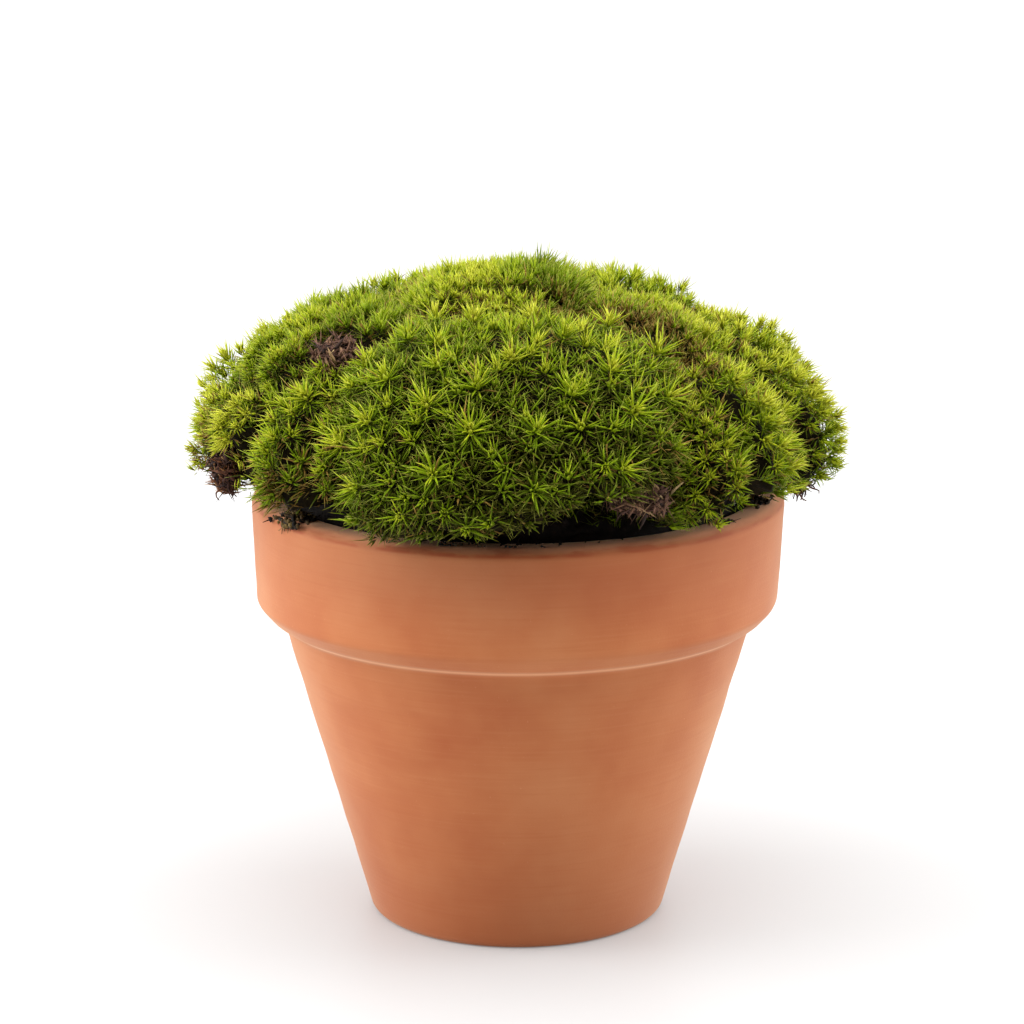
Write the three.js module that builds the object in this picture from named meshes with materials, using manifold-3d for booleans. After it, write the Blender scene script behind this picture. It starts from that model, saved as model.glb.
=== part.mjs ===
// A cushion plant, moss campion, growing in a clay pot. Millimetres, +Z up, with the origin at the middle of
// the pot's foot. The cushion is one low dome of mounds pressed together over a heap of soil. Star-shaped
// rosettes of three-sided needle leaves stand out of each mound. Dried shoots and rootlets show where mounds
// meet and under the overhang.

import * as THREE from "three";
import { ConvexGeometry } from "three/addons/geometries/ConvexGeometry.js";
import { ConvexHull } from "three/addons/math/ConvexHull.js";
import { mergeVertices } from "three/addons/utils/BufferGeometryUtils.js";
import Module from "manifold-3d";

const wasm = await Module();
wasm.setup();

// The clay pot.
const POT_HEIGHT = 81.5;
const RIM_R = 50;
const BAND_FOOT_R = 49.1;
const BAND_FOOT_Z = 61.1;
const BAND_UNDERCUT = 2.4;
const BAND_UNDERCUT_DROP = 2.6;
const NECK_R = 44.3;
const NECK_Z = 57.5;
const FOOT_R = 28;
const FOOT_CHAMFER = 0.8;
const LIP_INNER_R = 43.8;
const LIP_ROUND = 1.4;
const LIP_SOFTENING = 0.45;
const WALL = 4.8;
const BAND_WALL = 6.2;
const FLOOR = 6;
const DRAIN_HOLE_R = 5.5;
const POT_SIDES = 48;

// The heap of soil, and the bed that the cushion lies on.
const CLEARANCE = 0.3;
const SOIL_WALL_GAP = 0.45;
const SOIL_EDGE_Z = 78.5;
const SOIL_TOP_Z = 100;
const SOIL_SIDES = 24;
const SOIL_RINGS = 6;
const CRUMB = 0.7;

// The cushion: an oblate dome about its heart. Heights and reach are those of its ground, under the leaves.
const HEART = new THREE.Vector3(0, 0.8, 90);
const SPREAD = 54.5;
const RISE = 28.5;
const HEM_DROP = 15.7;
const CREASE_DEPTH = 4;
const CREASE_WIDTH = 6;
const CREASE_BLUNTNESS = 1.5;
const MOUND_GAP = 0.35;
const LOWEST_LOOK = -0.35;

// Where the hem hangs over the rim (more than 0) or lifts off it (less than 0), in degrees round the pot.
const HEM_WAVES = [
  { at: -74, halfWidth: 11, drop: -10 },
  { at: -133, halfWidth: 4.5, drop: -9 },
  { at: -41, halfWidth: 4.5, drop: -8 },
  { at: -117, halfWidth: 9, drop: 7 },
  { at: -54, halfWidth: 7, drop: 6 },
  { at: -142, halfWidth: 6, drop: 4 },
  { at: 20, halfWidth: 9, drop: 4 },
  { at: 75, halfWidth: 10, drop: 5 },
  { at: 128, halfWidth: 8, drop: -6 },
  { at: 165, halfWidth: 9, drop: 4 },
];

// The mounds, as balls pressed against each other: middle, size and how far each swells above the dome.
const MOUNDS = [
  { name: "mound_front", at: [-2, -43, 97], size: 33, swell: 2.4 },
  { name: "mound_front_left", at: [-40, -38, 93], size: 14, swell: 0.6 },
  { name: "mound_left", at: [-54, -13, 93], size: 16, swell: 0.4 },
  { name: "mound_upper_left", at: [-37, -5, 108], size: 21, swell: 0.8 },
  { name: "mound_crown", at: [-5, 3, 118], size: 24, swell: 1.2 },
  { name: "mound_upper_right", at: [24, -3, 113], size: 18, swell: -0.8 },
  { name: "mound_front_right", at: [41, -35, 94], size: 15, swell: 1.2 },
  { name: "mound_right", at: [54, -10, 93], size: 15, swell: 0.8 },
  { name: "mound_upper_right_side", at: [45, 6, 105], size: 15, swell: 0.6 },
  { name: "mound_back_right", at: [43, 36, 95], size: 19, swell: 0.8 },
  { name: "mound_upper_back_right", at: [22, 26, 112], size: 16, swell: 0.4 },
  { name: "mound_back", at: [6, 52, 95], size: 21, swell: 1 },
  { name: "mound_back_left", at: [-35, 42, 95], size: 20, swell: 0.8 },
  { name: "mound_upper_back_left", at: [-14, 29, 113], size: 17, swell: 0.8 },
  { name: "mound_left_back", at: [-55, 16, 94], size: 16, swell: 0.4 },
];

// A rosette: a heart leaf crown inside an outer whorl.
const ROSETTE_SPACING = 8.15;
const ROSETTE_DARTS = 16000;
const ROSETTE_EDGE = 2.8;
const ROSETTE_OVER_RIM = 2.6;
const ROSETTE_OUTSIDE_RIM = 2;
const FACING = 0.5;
const INNER_LEAVES = 5;
const OUTER_LEAVES = 10;
const INNER_R = 1;
const OUTER_R = 1.95;
const HUB_RISE = 1.5;
const INNER_RISE = 1.25;
const OUTER_RISE = 0.4;
const LEAF_LENGTH = 7;
const INNER_LEAF_LENGTH = 5.8;
const OUTER_LIFT = 24;
const INNER_LIFT = 58;
const LIFT_STEP = 7;
const UPRIGHT = 88;
const LIFT_SPREAD = 10;
const LENGTH_SPREAD = 0.24;
const LENGTH_SHARES = [1, 0.8, 0.6, 0.4];
const LEAF_CLEAR = 0.7;
const LEAF_OVER_RIM = 0.8;
const NEIGHBOUR_REACH = 10;
const TOUCH = 1e-3;

// The low ground between rosettes.
const VALLEY_SPACING = 3.9;
const VALLEY_DARTS = 9000;
const VALLEY_FROM_ROSETTE = 3.9;
const VALLEY_FROM_RING = 2.7;
const VALLEY_DROP = 0.9;
const UNDERSIDE_LOOK = -0.45;
const UNDERSIDE_SPACING = 13;

// Tufts of dried shoots and rootlets: middle, half sizes, the way that their strands point, and the strands.
const TUFTS = [
  {
    name: "dried_shoots_left",
    at: [-31.8, -21, 110],
    half: [5.2, 4.2, 3.2],
    toward: [-0.45, -0.35, 0.8],
    strands: 20,
    length: 5,
  },
  {
    name: "dried_shoots_front",
    at: [21.2, -46, 90],
    half: [5.8, 3.2, 3],
    toward: [0.1, -1, 0.2],
    strands: 18,
    length: 5.2,
  },
  {
    name: "rootlets_left",
    at: [-52.8, -18.4, 90],
    half: [3, 3.8, 5.4],
    toward: [-0.3, -0.4, -1],
    strands: 15,
    length: 3.8,
  },
  {
    name: "rootlets_right",
    at: [52.8, 4, 82.8],
    half: [2.4, 2.8, 3],
    toward: [0.25, -0.15, -1],
    strands: 13,
    length: 4.2,
  },
];
const STRAND_R = 0.62;
const STRAND_MID_SHARE = 0.72;
const STRAND_CURL = 1.3;
const STRAND_GATHER = 0.35;
const STRAND_ATTEMPTS = 12;
const CLUMP_LUMPS = 0.12;
const TUFT_MARGIN = 2.3;

// The colours of the surfaces.
const LEAF_GREEN = new THREE.Color("#5f8f1c");
const DRIED_BROWN = new THREE.Color("#6b4c33");
const SOIL_BLACK = new THREE.Color("#1d1612");
const CLAY = new THREE.Color("#bf6f48");

// A seeded random draw from 0 to 1.
function seeded(seed) {
  let state = seed >>> 0;
  return () => {
    state = (state + 0x6d2b79f5) >>> 0;
    let mixed = Math.imul(state ^ (state >>> 15), state | 1);
    mixed ^= mixed + Math.imul(mixed ^ (mixed >>> 7), mixed | 61);
    return ((mixed ^ (mixed >>> 14)) >>> 0) / 4294967296;
  };
}

function vector(values) {
  return new THREE.Vector3(...values);
}

function centreOf(points) {
  return points.reduce((sum, point) => sum.add(point), new THREE.Vector3()).divideScalar(points.length);
}

// A closed solid from a geometry whose shared vertices are at the same places.
function solidOf(geometry) {
  const bare = new THREE.BufferGeometry().setAttribute("position", geometry.getAttribute("position"));
  if (geometry.index) bare.setIndex(geometry.index);
  const merged = mergeVertices(bare, 1e-4);
  const corners = Array.from(merged.index.array);
  const triangles = [];
  for (let i = 0; i < corners.length; i += 3) {
    const [a, b, c] = corners.slice(i, i + 3);
    if (a !== b && b !== c && c !== a) triangles.push(a, b, c);
  }
  const mesh = new wasm.Mesh({
    numProp: 3,
    vertProperties: merged.getAttribute("position").array,
    triVerts: new Uint32Array(triangles),
  });
  return new wasm.Manifold(mesh);
}

// A three.js geometry from a solid.
function geometryOf(solid) {
  const { numVert, numProp, vertProperties, triVerts } = solid.getMesh();
  const positions = new Float32Array(numVert * 3);
  for (let i = 0; i < numVert; i++) {
    positions.set(vertProperties.subarray(i * numProp, i * numProp + 3), i * 3);
  }
  const geometry = new THREE.BufferGeometry();
  geometry.setAttribute("position", new THREE.BufferAttribute(positions, 3));
  geometry.setIndex(new THREE.BufferAttribute(triVerts, 1));
  geometry.computeVertexNormals();
  return geometry;
}

// The largest body of a solid; loose scraps are dropped.
function largestBody(solid) {
  return solid.decompose().reduce((best, body) => (body.volume() > best.volume() ? body : best));
}

// A turned solid about Z from [radius, height] pairs.
function turned(profile, sides) {
  const points = profile.map(([r, z]) => new THREE.Vector2(r, z));
  return new THREE.LatheGeometry(points, sides).rotateX(Math.PI / 2);
}

// The inside wall of the pot from the band down to the floor, set in by a gap.
function insideWall(gap) {
  return [
    [BAND_FOOT_R - BAND_WALL - gap, BAND_FOOT_Z],
    [NECK_R - WALL - gap, NECK_Z],
    [FOOT_R - WALL - gap, FLOOR + (gap > 0 ? CLEARANCE : 0)],
  ];
}

// Clay pot: a tapered body with a drain hole, and a deep band with a rounded lip.
function potGeometry() {
  const outside = [
    [DRAIN_HOLE_R, 0],
    [FOOT_R - FOOT_CHAMFER, 0],
    [FOOT_R, FOOT_CHAMFER],
    [NECK_R, NECK_Z],
    [BAND_FOOT_R - BAND_UNDERCUT, BAND_FOOT_Z - BAND_UNDERCUT_DROP],
    [BAND_FOOT_R, BAND_FOOT_Z],
  ];
  const lip = [
    [RIM_R, POT_HEIGHT - LIP_ROUND],
    [RIM_R - LIP_SOFTENING, POT_HEIGHT - LIP_SOFTENING],
    [RIM_R - LIP_ROUND, POT_HEIGHT],
    [LIP_INNER_R + LIP_ROUND / 2, POT_HEIGHT],
    [LIP_INNER_R, POT_HEIGHT - LIP_ROUND],
  ];
  const hole = [[DRAIN_HOLE_R, FLOOR], [DRAIN_HOLE_R, 0]];
  return turned([...outside, ...lip, ...insideWall(0), ...hole], POT_SIDES);
}

// Height of the smooth bed under the cushion at a distance from the axis.
function bedHeight(r) {
  const share = Math.min(1, r / LIP_INNER_R);
  return SOIL_EDGE_Z + (SOIL_TOP_Z - SOIL_EDGE_Z) * Math.sqrt(1 - share * share);
}

// The domed top of the bed as a profile from its edge to the axis, raised or lowered.
function bedProfile(edgeR, raised) {
  return Array.from({ length: SOIL_RINGS }, (_, ring) => {
    const r = edgeR * Math.cos(((ring + 1) / SOIL_RINGS) * (Math.PI / 2));
    return [ring + 1 === SOIL_RINGS ? 0 : r, bedHeight(r) + raised];
  });
}

// Soil: it fills the pot and heaps up in a crumbled dome.
function soilGeometry() {
  const edgeR = LIP_INNER_R - SOIL_WALL_GAP - CLEARANCE;
  const wall = insideWall(SOIL_WALL_GAP).reverse();
  const shoulder = [edgeR, SOIL_EDGE_Z - 4 * CRUMB];
  const profile = [[0, FLOOR + CLEARANCE], ...wall, shoulder, ...bedProfile(edgeR, -CRUMB)];
  const geometry = turned(profile, SOIL_SIDES);
  const place = geometry.getAttribute("position");
  for (let i = 0; i < place.count; i++) {
    const [x, y, z] = [place.getX(i), place.getY(i), place.getZ(i)];
    const crumb = CRUMB * Math.sin(1.7 * x + 0.6 * y) * Math.sin(1.3 * y - 0.4 * x);
    if (z > SOIL_EDGE_Z - CRUMB) place.setZ(i, z + crumb);
  }
  return geometry;
}

// Everything that the cushion keeps off: the pot and the bed, each with its clearance.
function keepOutSolid() {
  const outer = (RIM_R + CLEARANCE) / Math.cos(Math.PI / SOIL_SIDES);
  const inner = LIP_INNER_R - CLEARANCE - 0.1;
  const top = POT_HEIGHT + CLEARANCE;
  const rim = [
    [0, BAND_FOOT_Z],
    [outer, BAND_FOOT_Z],
    [outer, POT_HEIGHT - LIP_ROUND],
    [outer - LIP_ROUND, top],
    [inner + LIP_ROUND / 2, top],
    [inner, POT_HEIGHT - LIP_ROUND + CLEARANCE],
  ];
  return solidOf(turned([...rim, ...bedProfile(inner, CLEARANCE)], SOIL_SIDES));
}

// The plane between two mounds, as a normal that points to the other and its offset from the origin.
function planeBetween(mound, other) {
  const [from, to] = [vector(mound.at), vector(other.at)];
  const apart = to.clone().sub(from);
  const offset = to.lengthSq() - other.size ** 2 - from.lengthSq() + mound.size ** 2;
  return { normal: apart.clone().normalize(), offset: offset / (2 * apart.length()) };
}

MOUNDS.forEach((mound) => {
  mound.planes = MOUNDS.filter((other) => other !== mound).map((other) => planeBetween(mound, other));
});

// How far a point is inside a mound's own space.
function depthInside(mound, point) {
  return Math.min(...mound.planes.map(({ normal, offset }) => offset - normal.dot(point)));
}

// The mound whose space holds a point.
function moundAt(point) {
  const nearness = (mound) => vector(mound.at).distanceToSquared(point) - mound.size ** 2;
  return MOUNDS.reduce((best, mound) => (nearness(mound) < nearness(best) ? mound : best));
}

// How far the hem hangs below the heart in a direction round the pot.
function hemDrop(azimuth) {
  const degrees = THREE.MathUtils.radToDeg(azimuth);
  return HEM_WAVES.reduce((sum, { at, halfWidth, drop }) => {
    const away = THREE.MathUtils.euclideanModulo(degrees - at + 180, 360) - 180;
    return sum + drop * Math.exp(-((away / halfWidth) ** 2));
  }, HEM_DROP);
}

// The ground of the cushion in a direction from its heart: its point, the smooth dome's point and normal, and
// its mound.
function groundAt(direction, extra = 0) {
  const sideways = Math.hypot(direction.x, direction.y);
  const upright = direction.z >= 0 ? RISE : hemDrop(Math.atan2(direction.y, direction.x));
  const reach = 1 / Math.hypot(sideways / SPREAD, direction.z / upright);
  const dome = HEART.clone().addScaledVector(direction, reach);
  const mound = moundAt(dome);
  const crease = Math.exp(-((depthInside(mound, dome) / CREASE_WIDTH) ** CREASE_BLUNTNESS));
  const raised = mound.swell - (mound.swell + CREASE_DEPTH) * crease + extra;
  const squash = new THREE.Vector3(SPREAD ** -2, SPREAD ** -2, upright ** -2);
  const normal = dome.clone().sub(HEART).multiply(squash).normalize();
  return { point: HEART.clone().addScaledVector(direction, reach + raised), dome, mound, normal };
}

// A random direction from the heart, evenly over the sphere above a given fall.
function anyDirection(draw, lowest) {
  const z = lowest + (1 - lowest) * draw();
  const azimuth = 2 * Math.PI * draw();
  const flat = Math.sqrt(1 - z * z);
  return new THREE.Vector3(flat * Math.cos(azimuth), flat * Math.sin(azimuth), z);
}

// How far a point is from the nearest tuft.
function distanceFromTufts(point) {
  return Math.min(...TUFTS.map(({ at, half }) => vector(at).distanceTo(point) - Math.max(...half)));
}

// Rosette places: evenly scattered over the ground, clear of the creases, the pot and the dried tufts.
function rosettePlaces(draw) {
  const places = [];
  for (let dart = 0; dart < ROSETTE_DARTS; dart++) {
    const direction = anyDirection(draw, LOWEST_LOOK);
    const ground = groundAt(direction);
    const { point, dome, mound, normal } = ground;
    const outsideRim = Math.hypot(point.x, point.y) > RIM_R + ROSETTE_OUTSIDE_RIM;
    const lowest = POT_HEIGHT + (outsideRim ? -1 : ROSETTE_OVER_RIM);
    if (normal.dot(direction) < FACING || point.z < lowest) continue;
    if (depthInside(mound, point) < ROSETTE_EDGE) continue;
    if (distanceFromTufts(point) < TUFT_MARGIN) continue;
    if (places.some((place) => place.dome.distanceTo(dome) < ROSETTE_SPACING)) continue;
    places.push(ground);
  }
  return places;
}

// How far apart two points look from the heart, measured at the first one.
function lookApart(point, other) {
  return other.clone().sub(HEART).setLength(point.distanceTo(HEART)).add(HEART).distanceTo(point);
}

// Points of the low ground between rosettes, and of the plain underside.
function valleyPlaces(draw, rosettes) {
  const valleys = [];
  for (let dart = 0; dart < VALLEY_DARTS; dart++) {
    const direction = anyDirection(draw, -1);
    const { point, dome } = groundAt(direction, -VALLEY_DROP);
    const spacing = direction.z < UNDERSIDE_LOOK ? UNDERSIDE_SPACING : VALLEY_SPACING;
    if (rosettes.some((rosette) => rosette.dome.distanceTo(dome) < VALLEY_FROM_ROSETTE)) continue;
    if (rosettes.some(({ centre }) => lookApart(centre, point) < VALLEY_FROM_RING)) continue;
    if (valleys.some((valley) => valley.dome.distanceTo(dome) < spacing)) continue;
    valleys.push({ point, dome });
  }
  return valleys;
}

const ray = new THREE.Ray();
const hit = new THREE.Vector3();

// Whether an edge of one triangle passes through another triangle, short of the edge's ends.
function edgePierces(one, other) {
  return [0, 1, 2].some((k) => {
    const [from, to] = [one[k], one[(k + 1) % 3]];
    const length = from.distanceTo(to);
    ray.set(from, to.clone().sub(from).divideScalar(length));
    if (!ray.intersectTriangle(other[0], other[1], other[2], false, hit)) return false;
    const along = hit.distanceTo(from);
    return along > TOUCH && along < length - TOUCH;
  });
}

// Whether new triangles cross none of the old ones.
function isClear(added, standing) {
  return added.every((one) => {
    const box = new THREE.Box3().setFromPoints(one);
    return standing.every((other) => {
      if (!box.intersectsBox(other.box)) return true;
      return !edgePierces(one, other.corners) && !edgePierces(other.corners, one);
    });
  });
}

function boxed(corners) {
  return { corners, box: new THREE.Box3().setFromPoints(corners) };
}

// Pulls a tip back into its mound's space and off the pot.
function keepClear(tip, mound) {
  for (let pass = 0; pass < 3; pass++) {
    for (const { normal, offset } of mound.planes) {
      const over = normal.dot(tip) - (offset - MOUND_GAP);
      if (over > 0) tip.addScaledVector(normal, -over);
    }
  }
  if (Math.hypot(tip.x, tip.y) < RIM_R + 1) tip.z = Math.max(tip.z, POT_HEIGHT + LEAF_OVER_RIM);
  return tip;
}

// A three-sided leaf on three corners of a rosette. It is lifted, then shortened, until it crosses nothing.
function leafOn({ corners, angle, lift, length }, { across, up, normal, mound }, near) {
  const root = centreOf(corners);
  const around = across.clone().multiplyScalar(Math.cos(angle)).addScaledVector(up, Math.sin(angle));
  for (const share of LENGTH_SHARES) {
    for (let rise = lift; rise <= UPRIGHT; rise += LIFT_STEP) {
      const radians = THREE.MathUtils.degToRad(rise);
      const tip = root.clone().addScaledVector(around, share * length * Math.cos(radians));
      keepClear(tip.addScaledVector(normal, share * length * Math.sin(radians)), mound);
      const line = new THREE.Line3(root, tip);
      const crowded = near.lines.some((other) => line.distanceSqToLine3(other) < LEAF_CLEAR ** 2);
      const sides = [0, 1, 2].map((k) => [corners[k], corners[(k + 1) % 3], tip]);
      if (!crowded && isClear(sides, near.faces)) return { lines: [line], sides };
    }
  }
  return { lines: [], sides: [corners] };
}

// A ring of corners about a rosette's middle.
function ringOf({ point, normal, across, up, turn }, count, radius, rise) {
  return Array.from({ length: count }, (_, k) => {
    const angle = turn + (2 * Math.PI * k) / count;
    const spot = point.clone().addScaledVector(across, radius * Math.cos(angle));
    return { angle, spot: spot.addScaledVector(up, radius * Math.sin(angle)).addScaledVector(normal, rise) };
  });
}

// Gives a rosette its own axes, and its corners: a hub, an inner ring and an outer ring.
function layOutRosette(rosette, draw) {
  const { normal, point } = rosette;
  rosette.across = new THREE.Vector3(-normal.y, normal.x, 0).normalize();
  rosette.up = normal.clone().cross(rosette.across).normalize();
  rosette.turn = draw() * Math.PI;
  rosette.hub = point.clone().addScaledVector(normal, HUB_RISE);
  rosette.centre = point.clone().addScaledVector(normal, OUTER_RISE);
  rosette.inner = ringOf(rosette, INNER_LEAVES, INNER_R, INNER_RISE);
  rosette.outer = ringOf(rosette, OUTER_LEAVES, OUTER_R, OUTER_RISE);
}

// The ground between the rosettes, as the convex hull of the directions of all its corners from the heart.
function groundFaces(rosettes, valleys) {
  const look = (spot, rosette) => Object.assign(spot.clone().sub(HEART).normalize(), { spot, rosette });
  const looks = valleys.map(({ point }) => look(point, null));
  for (const rosette of rosettes) {
    looks.push(look(rosette.centre, rosette), ...rosette.outer.map(({ spot }) => look(spot, rosette)));
  }
  const hull = new ConvexHull().setFromPoints(looks);
  const faces = hull.faces.map((face) => [0, 1, 2].map((k) => face.getEdge(k).head().point));
  const inRing = ([a, b, c]) => a.rosette && a.rosette === b.rosette && b.rosette === c.rosette;
  const between = faces.filter((face) => !inRing(face));
  return between.map((corners) => corners.map(({ spot }) => spot));
}

// The faces of a rosette: those that each carry a leaf, with its angle, lift and length, and the plain ones.
function rosetteFaces({ hub, inner, outer }) {
  const perInner = OUTER_LEAVES / INNER_LEAVES;
  const half = Math.PI / OUTER_LEAVES;
  const upright = { lift: INNER_LIFT, length: INNER_LEAF_LENGTH };
  const spread = { lift: OUTER_LIFT, length: LEAF_LENGTH };
  const leafy = [];
  const plain = [];
  inner.forEach(({ spot, angle }, k) => {
    const next = inner[(k + 1) % INNER_LEAVES].spot;
    const [first, second, third] = [0, 1, 2].map((step) => outer[(k * perInner + step) % OUTER_LEAVES]);
    leafy.push({ corners: [hub, spot, next], angle: angle + Math.PI / INNER_LEAVES, ...upright });
    leafy.push({ corners: [spot, first.spot, second.spot], angle: first.angle + half, ...spread });
    leafy.push({ corners: [next, second.spot, third.spot], angle: second.angle + half, ...spread });
    plain.push([spot, second.spot, next]);
  });
  return { leafy, plain };
}

// The closed surface of the whole cushion with its leaves. No leaf crosses another, the ground or a strand.
function cushionGeometry(draw, strandLines) {
  const rosettes = rosettePlaces(draw);
  rosettes.forEach((rosette) => layOutRosette(rosette, draw));
  const ground = groundFaces(rosettes, valleyPlaces(draw, rosettes));
  const shoots = rosettes.map((rosette) => ({ rosette, ...rosetteFaces(rosette) }));
  const bare = [...ground, ...shoots.flatMap(({ plain }) => plain)];
  const leafBases = shoots.flatMap(({ leafy }) => leafy.map(({ corners }) => corners));
  const standing = [...bare, ...leafBases].map(boxed);
  const lines = [...strandLines];
  const sides = [];
  for (const { rosette, leafy } of shoots) {
    const reach = new THREE.Sphere(rosette.point, NEIGHBOUR_REACH);
    const near = { lines: lines.filter(({ start }) => reach.containsPoint(start)) };
    near.faces = standing.filter(({ box }) => reach.intersectsBox(box));
    for (const base of leafy) {
      const lift = base.lift + LIFT_SPREAD * (draw() - 0.5);
      const length = base.length * (1 + LENGTH_SPREAD * (draw() - 0.5));
      near.faces = near.faces.filter(({ corners }) => corners !== base.corners);
      const leaf = leafOn({ corners: base.corners, angle: base.angle, lift, length }, rosette, near);
      const grown = leaf.sides.map(boxed);
      near.faces.push(...grown);
      standing.push(...grown);
      lines.push(...leaf.lines);
      sides.push(...leaf.sides);
    }
  }
  return new THREE.BufferGeometry().setFromPoints([...bare, ...sides].flat());
}

// A box so large that it acts as all the space on the inner side of a plane.
function halfSpace({ normal, offset }, gap) {
  const side = 400;
  const box = new THREE.BoxGeometry(side, side, side);
  box.applyQuaternion(new THREE.Quaternion().setFromUnitVectors(new THREE.Vector3(0, 0, 1), normal));
  const middle = normal.clone().multiplyScalar(offset - gap - side / 2);
  return solidOf(box.translate(middle.x, middle.y, middle.z));
}

// The corners of a tuft's lumpy clump, swollen by a margin, with its faces as corner numbers.
function clumpOf({ at, half }, margin) {
  const sphere = new THREE.IcosahedronGeometry(1, 1).deleteAttribute("uv").deleteAttribute("normal");
  const ball = mergeVertices(sphere, 1e-4);
  const place = ball.getAttribute("position");
  const corners = Array.from({ length: place.count }, (_, i) => {
    const look = new THREE.Vector3().fromBufferAttribute(place, i);
    const lump = 1 + CLUMP_LUMPS * Math.sin(5.3 * look.x + 2.1 * look.z) * Math.cos(4.7 * look.y);
    const spot = look.clone().multiply(vector(half)).multiplyScalar(lump);
    return spot.add(vector(at)).addScaledVector(look, margin);
  });
  const numbers = Array.from(ball.index.array);
  const faces = Array.from({ length: numbers.length / 3 }, (_, i) => numbers.slice(3 * i, 3 * i + 3));
  return { corners, faces };
}

// The small triangle that a strand grows from in a face of the clump, the triangle at its knee, and its end.
function strandRings(face, { knee, tip }, margin) {
  const root = centreOf(face);
  const shrink = (STRAND_R + margin) / face[0].distanceTo(root);
  const foot = face.map((corner) => root.clone().lerp(corner, shrink));
  const bend = foot.map((corner) => corner.clone().sub(root).multiplyScalar(STRAND_MID_SHARE).add(knee));
  return { foot, bend, end: tip.clone().addScaledVector(tip.clone().sub(knee).normalize(), 2 * margin) };
}

// The sides of a strand, with the rest of the face that it grows from.
function strandSides(face, strand) {
  const { foot, bend, end } = strandRings(face, strand, 0);
  return [0, 1, 2].flatMap((k) => {
    const next = (k + 1) % 3;
    const collar = [[face[k], face[next], foot[next]], [face[k], foot[next], foot[k]]];
    const stalk = [[foot[k], foot[next], bend[next]], [foot[k], bend[next], bend[k]]];
    return [...collar, ...stalk, [bend[k], bend[next], end]];
  });
}

// The strands of a tuft, on the clump's faces that look its way. Each is redrawn until it crosses nothing.
function strandsOf(tuft, draw) {
  const { corners, faces } = clumpOf(tuft, 0);
  const outward = vector(tuft.toward).normalize();
  const scatter = () => vector([draw() - 0.5, draw() - 0.5, draw() - 0.5]);
  const spots = faces.map((face) => face.map((corner) => corners[corner]));
  const way = (face) => centreOf(face).sub(vector(tuft.at)).normalize();
  const order = spots.map((_, number) => number);
  order.sort((one, other) => way(spots[other]).dot(outward) - way(spots[one]).dot(outward));
  const standing = new Map(spots.map((face, number) => [number, [boxed(face)]]));
  const strands = [];
  for (const number of order.slice(0, tuft.strands)) {
    for (let attempt = 0; attempt < STRAND_ATTEMPTS; attempt++) {
      const root = centreOf(spots[number]);
      const aim = way(spots[number]).lerp(outward, STRAND_GATHER).add(scatter()).normalize();
      const reach = tuft.length * (0.7 + 0.6 * draw());
      const knee = root.clone().addScaledVector(aim, reach / 2);
      const tip = root.clone().addScaledVector(aim, reach).addScaledVector(scatter(), 2 * STRAND_CURL);
      if (Math.hypot(tip.x, tip.y) < RIM_R + 1) tip.z = Math.max(tip.z, POT_HEIGHT + LEAF_OVER_RIM);
      const strand = { number, root, knee, tip };
      const others = [...standing].flatMap(([key, sides]) => (key === number ? [] : sides));
      const sides = strandSides(spots[number], strand);
      if (isClear(sides, [...others, ...sides.map(boxed)])) {
        strands.push(strand);
        standing.set(number, sides.map(boxed));
        break;
      }
    }
  }
  return strands;
}

// A tuft: its clump with a strand on each face that grows one.
function tuftSolid(tuft, strands) {
  const { corners, faces } = clumpOf(tuft, 0);
  const triangles = faces.flatMap((numbers, number) => {
    const face = numbers.map((corner) => corners[corner]);
    const strand = strands.find((one) => one.number === number);
    return strand ? strandSides(face, strand) : [face];
  });
  return solidOf(new THREE.BufferGeometry().setFromPoints(triangles.flat()));
}

// The room that a tuft takes up in the mounds round it: its clump and its strands, all swollen by a margin.
function pocketSolid(tuft, strands, margin) {
  const swollen = clumpOf(tuft, margin);
  const shell = swollen.faces.flat().map((corner) => swollen.corners[corner]);
  const { corners, faces } = clumpOf(tuft, 0);
  return strands.reduce((pocket, strand) => {
    const face = faces[strand.number].map((corner) => corners[corner]);
    const { foot, bend, end } = strandRings(face, strand, margin);
    return pocket.add(solidOf(new ConvexGeometry([...foot, ...bend, end])));
  }, solidOf(new THREE.BufferGeometry().setFromPoints(shell)));
}

function material(color, roughness, name) {
  return new THREE.MeshStandardMaterial({ color, roughness, metalness: 0, name });
}

function addMesh(group, name, geometry, finish) {
  const mesh = new THREE.Mesh(geometry, finish);
  mesh.name = name;
  group.add(mesh);
}

// The whole plant in its pot.
function pottedCushion() {
  const group = new THREE.Group();
  addMesh(group, "pot", potGeometry(), material(CLAY, 0.85, "fired_clay"));
  addMesh(group, "soil", soilGeometry(), material(SOIL_BLACK, 0.95, "damp_soil"));

  const keepOut = keepOutSolid();
  const brown = material(DRIED_BROWN, 0.9, "dried_shoots");
  const tuftDraw = seeded(29);
  const strandLines = [];
  const pockets = TUFTS.map((tuft) => {
    const strands = strandsOf(tuft, tuftDraw);
    const stretches = strands.flatMap(({ root, knee, tip }) => [[root, knee], [knee, tip]]);
    strandLines.push(...stretches.map(([start, end]) => new THREE.Line3(start, end)));
    addMesh(group, tuft.name, geometryOf(largestBody(tuftSolid(tuft, strands).subtract(keepOut))), brown);
    return pocketSolid(tuft, strands, CLEARANCE);
  });

  const cushion = solidOf(cushionGeometry(seeded(11), strandLines));
  const open = pockets.reduce((solid, pocket) => solid.subtract(pocket), cushion.subtract(keepOut));
  MOUNDS.forEach((mound, number) => {
    const own = mound.planes.reduce((solid, plane) => solid.intersect(halfSpace(plane, MOUND_GAP / 2)), open);
    const green = LEAF_GREEN.clone().offsetHSL(0.006 * ((number % 5) - 2), 0, 0.012 * ((number % 3) - 1));
    addMesh(group, mound.name, geometryOf(largestBody(own)), material(green, 0.6, "moss_campion_leaf"));
  });
  return group;
}

export default pottedCushion();
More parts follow.
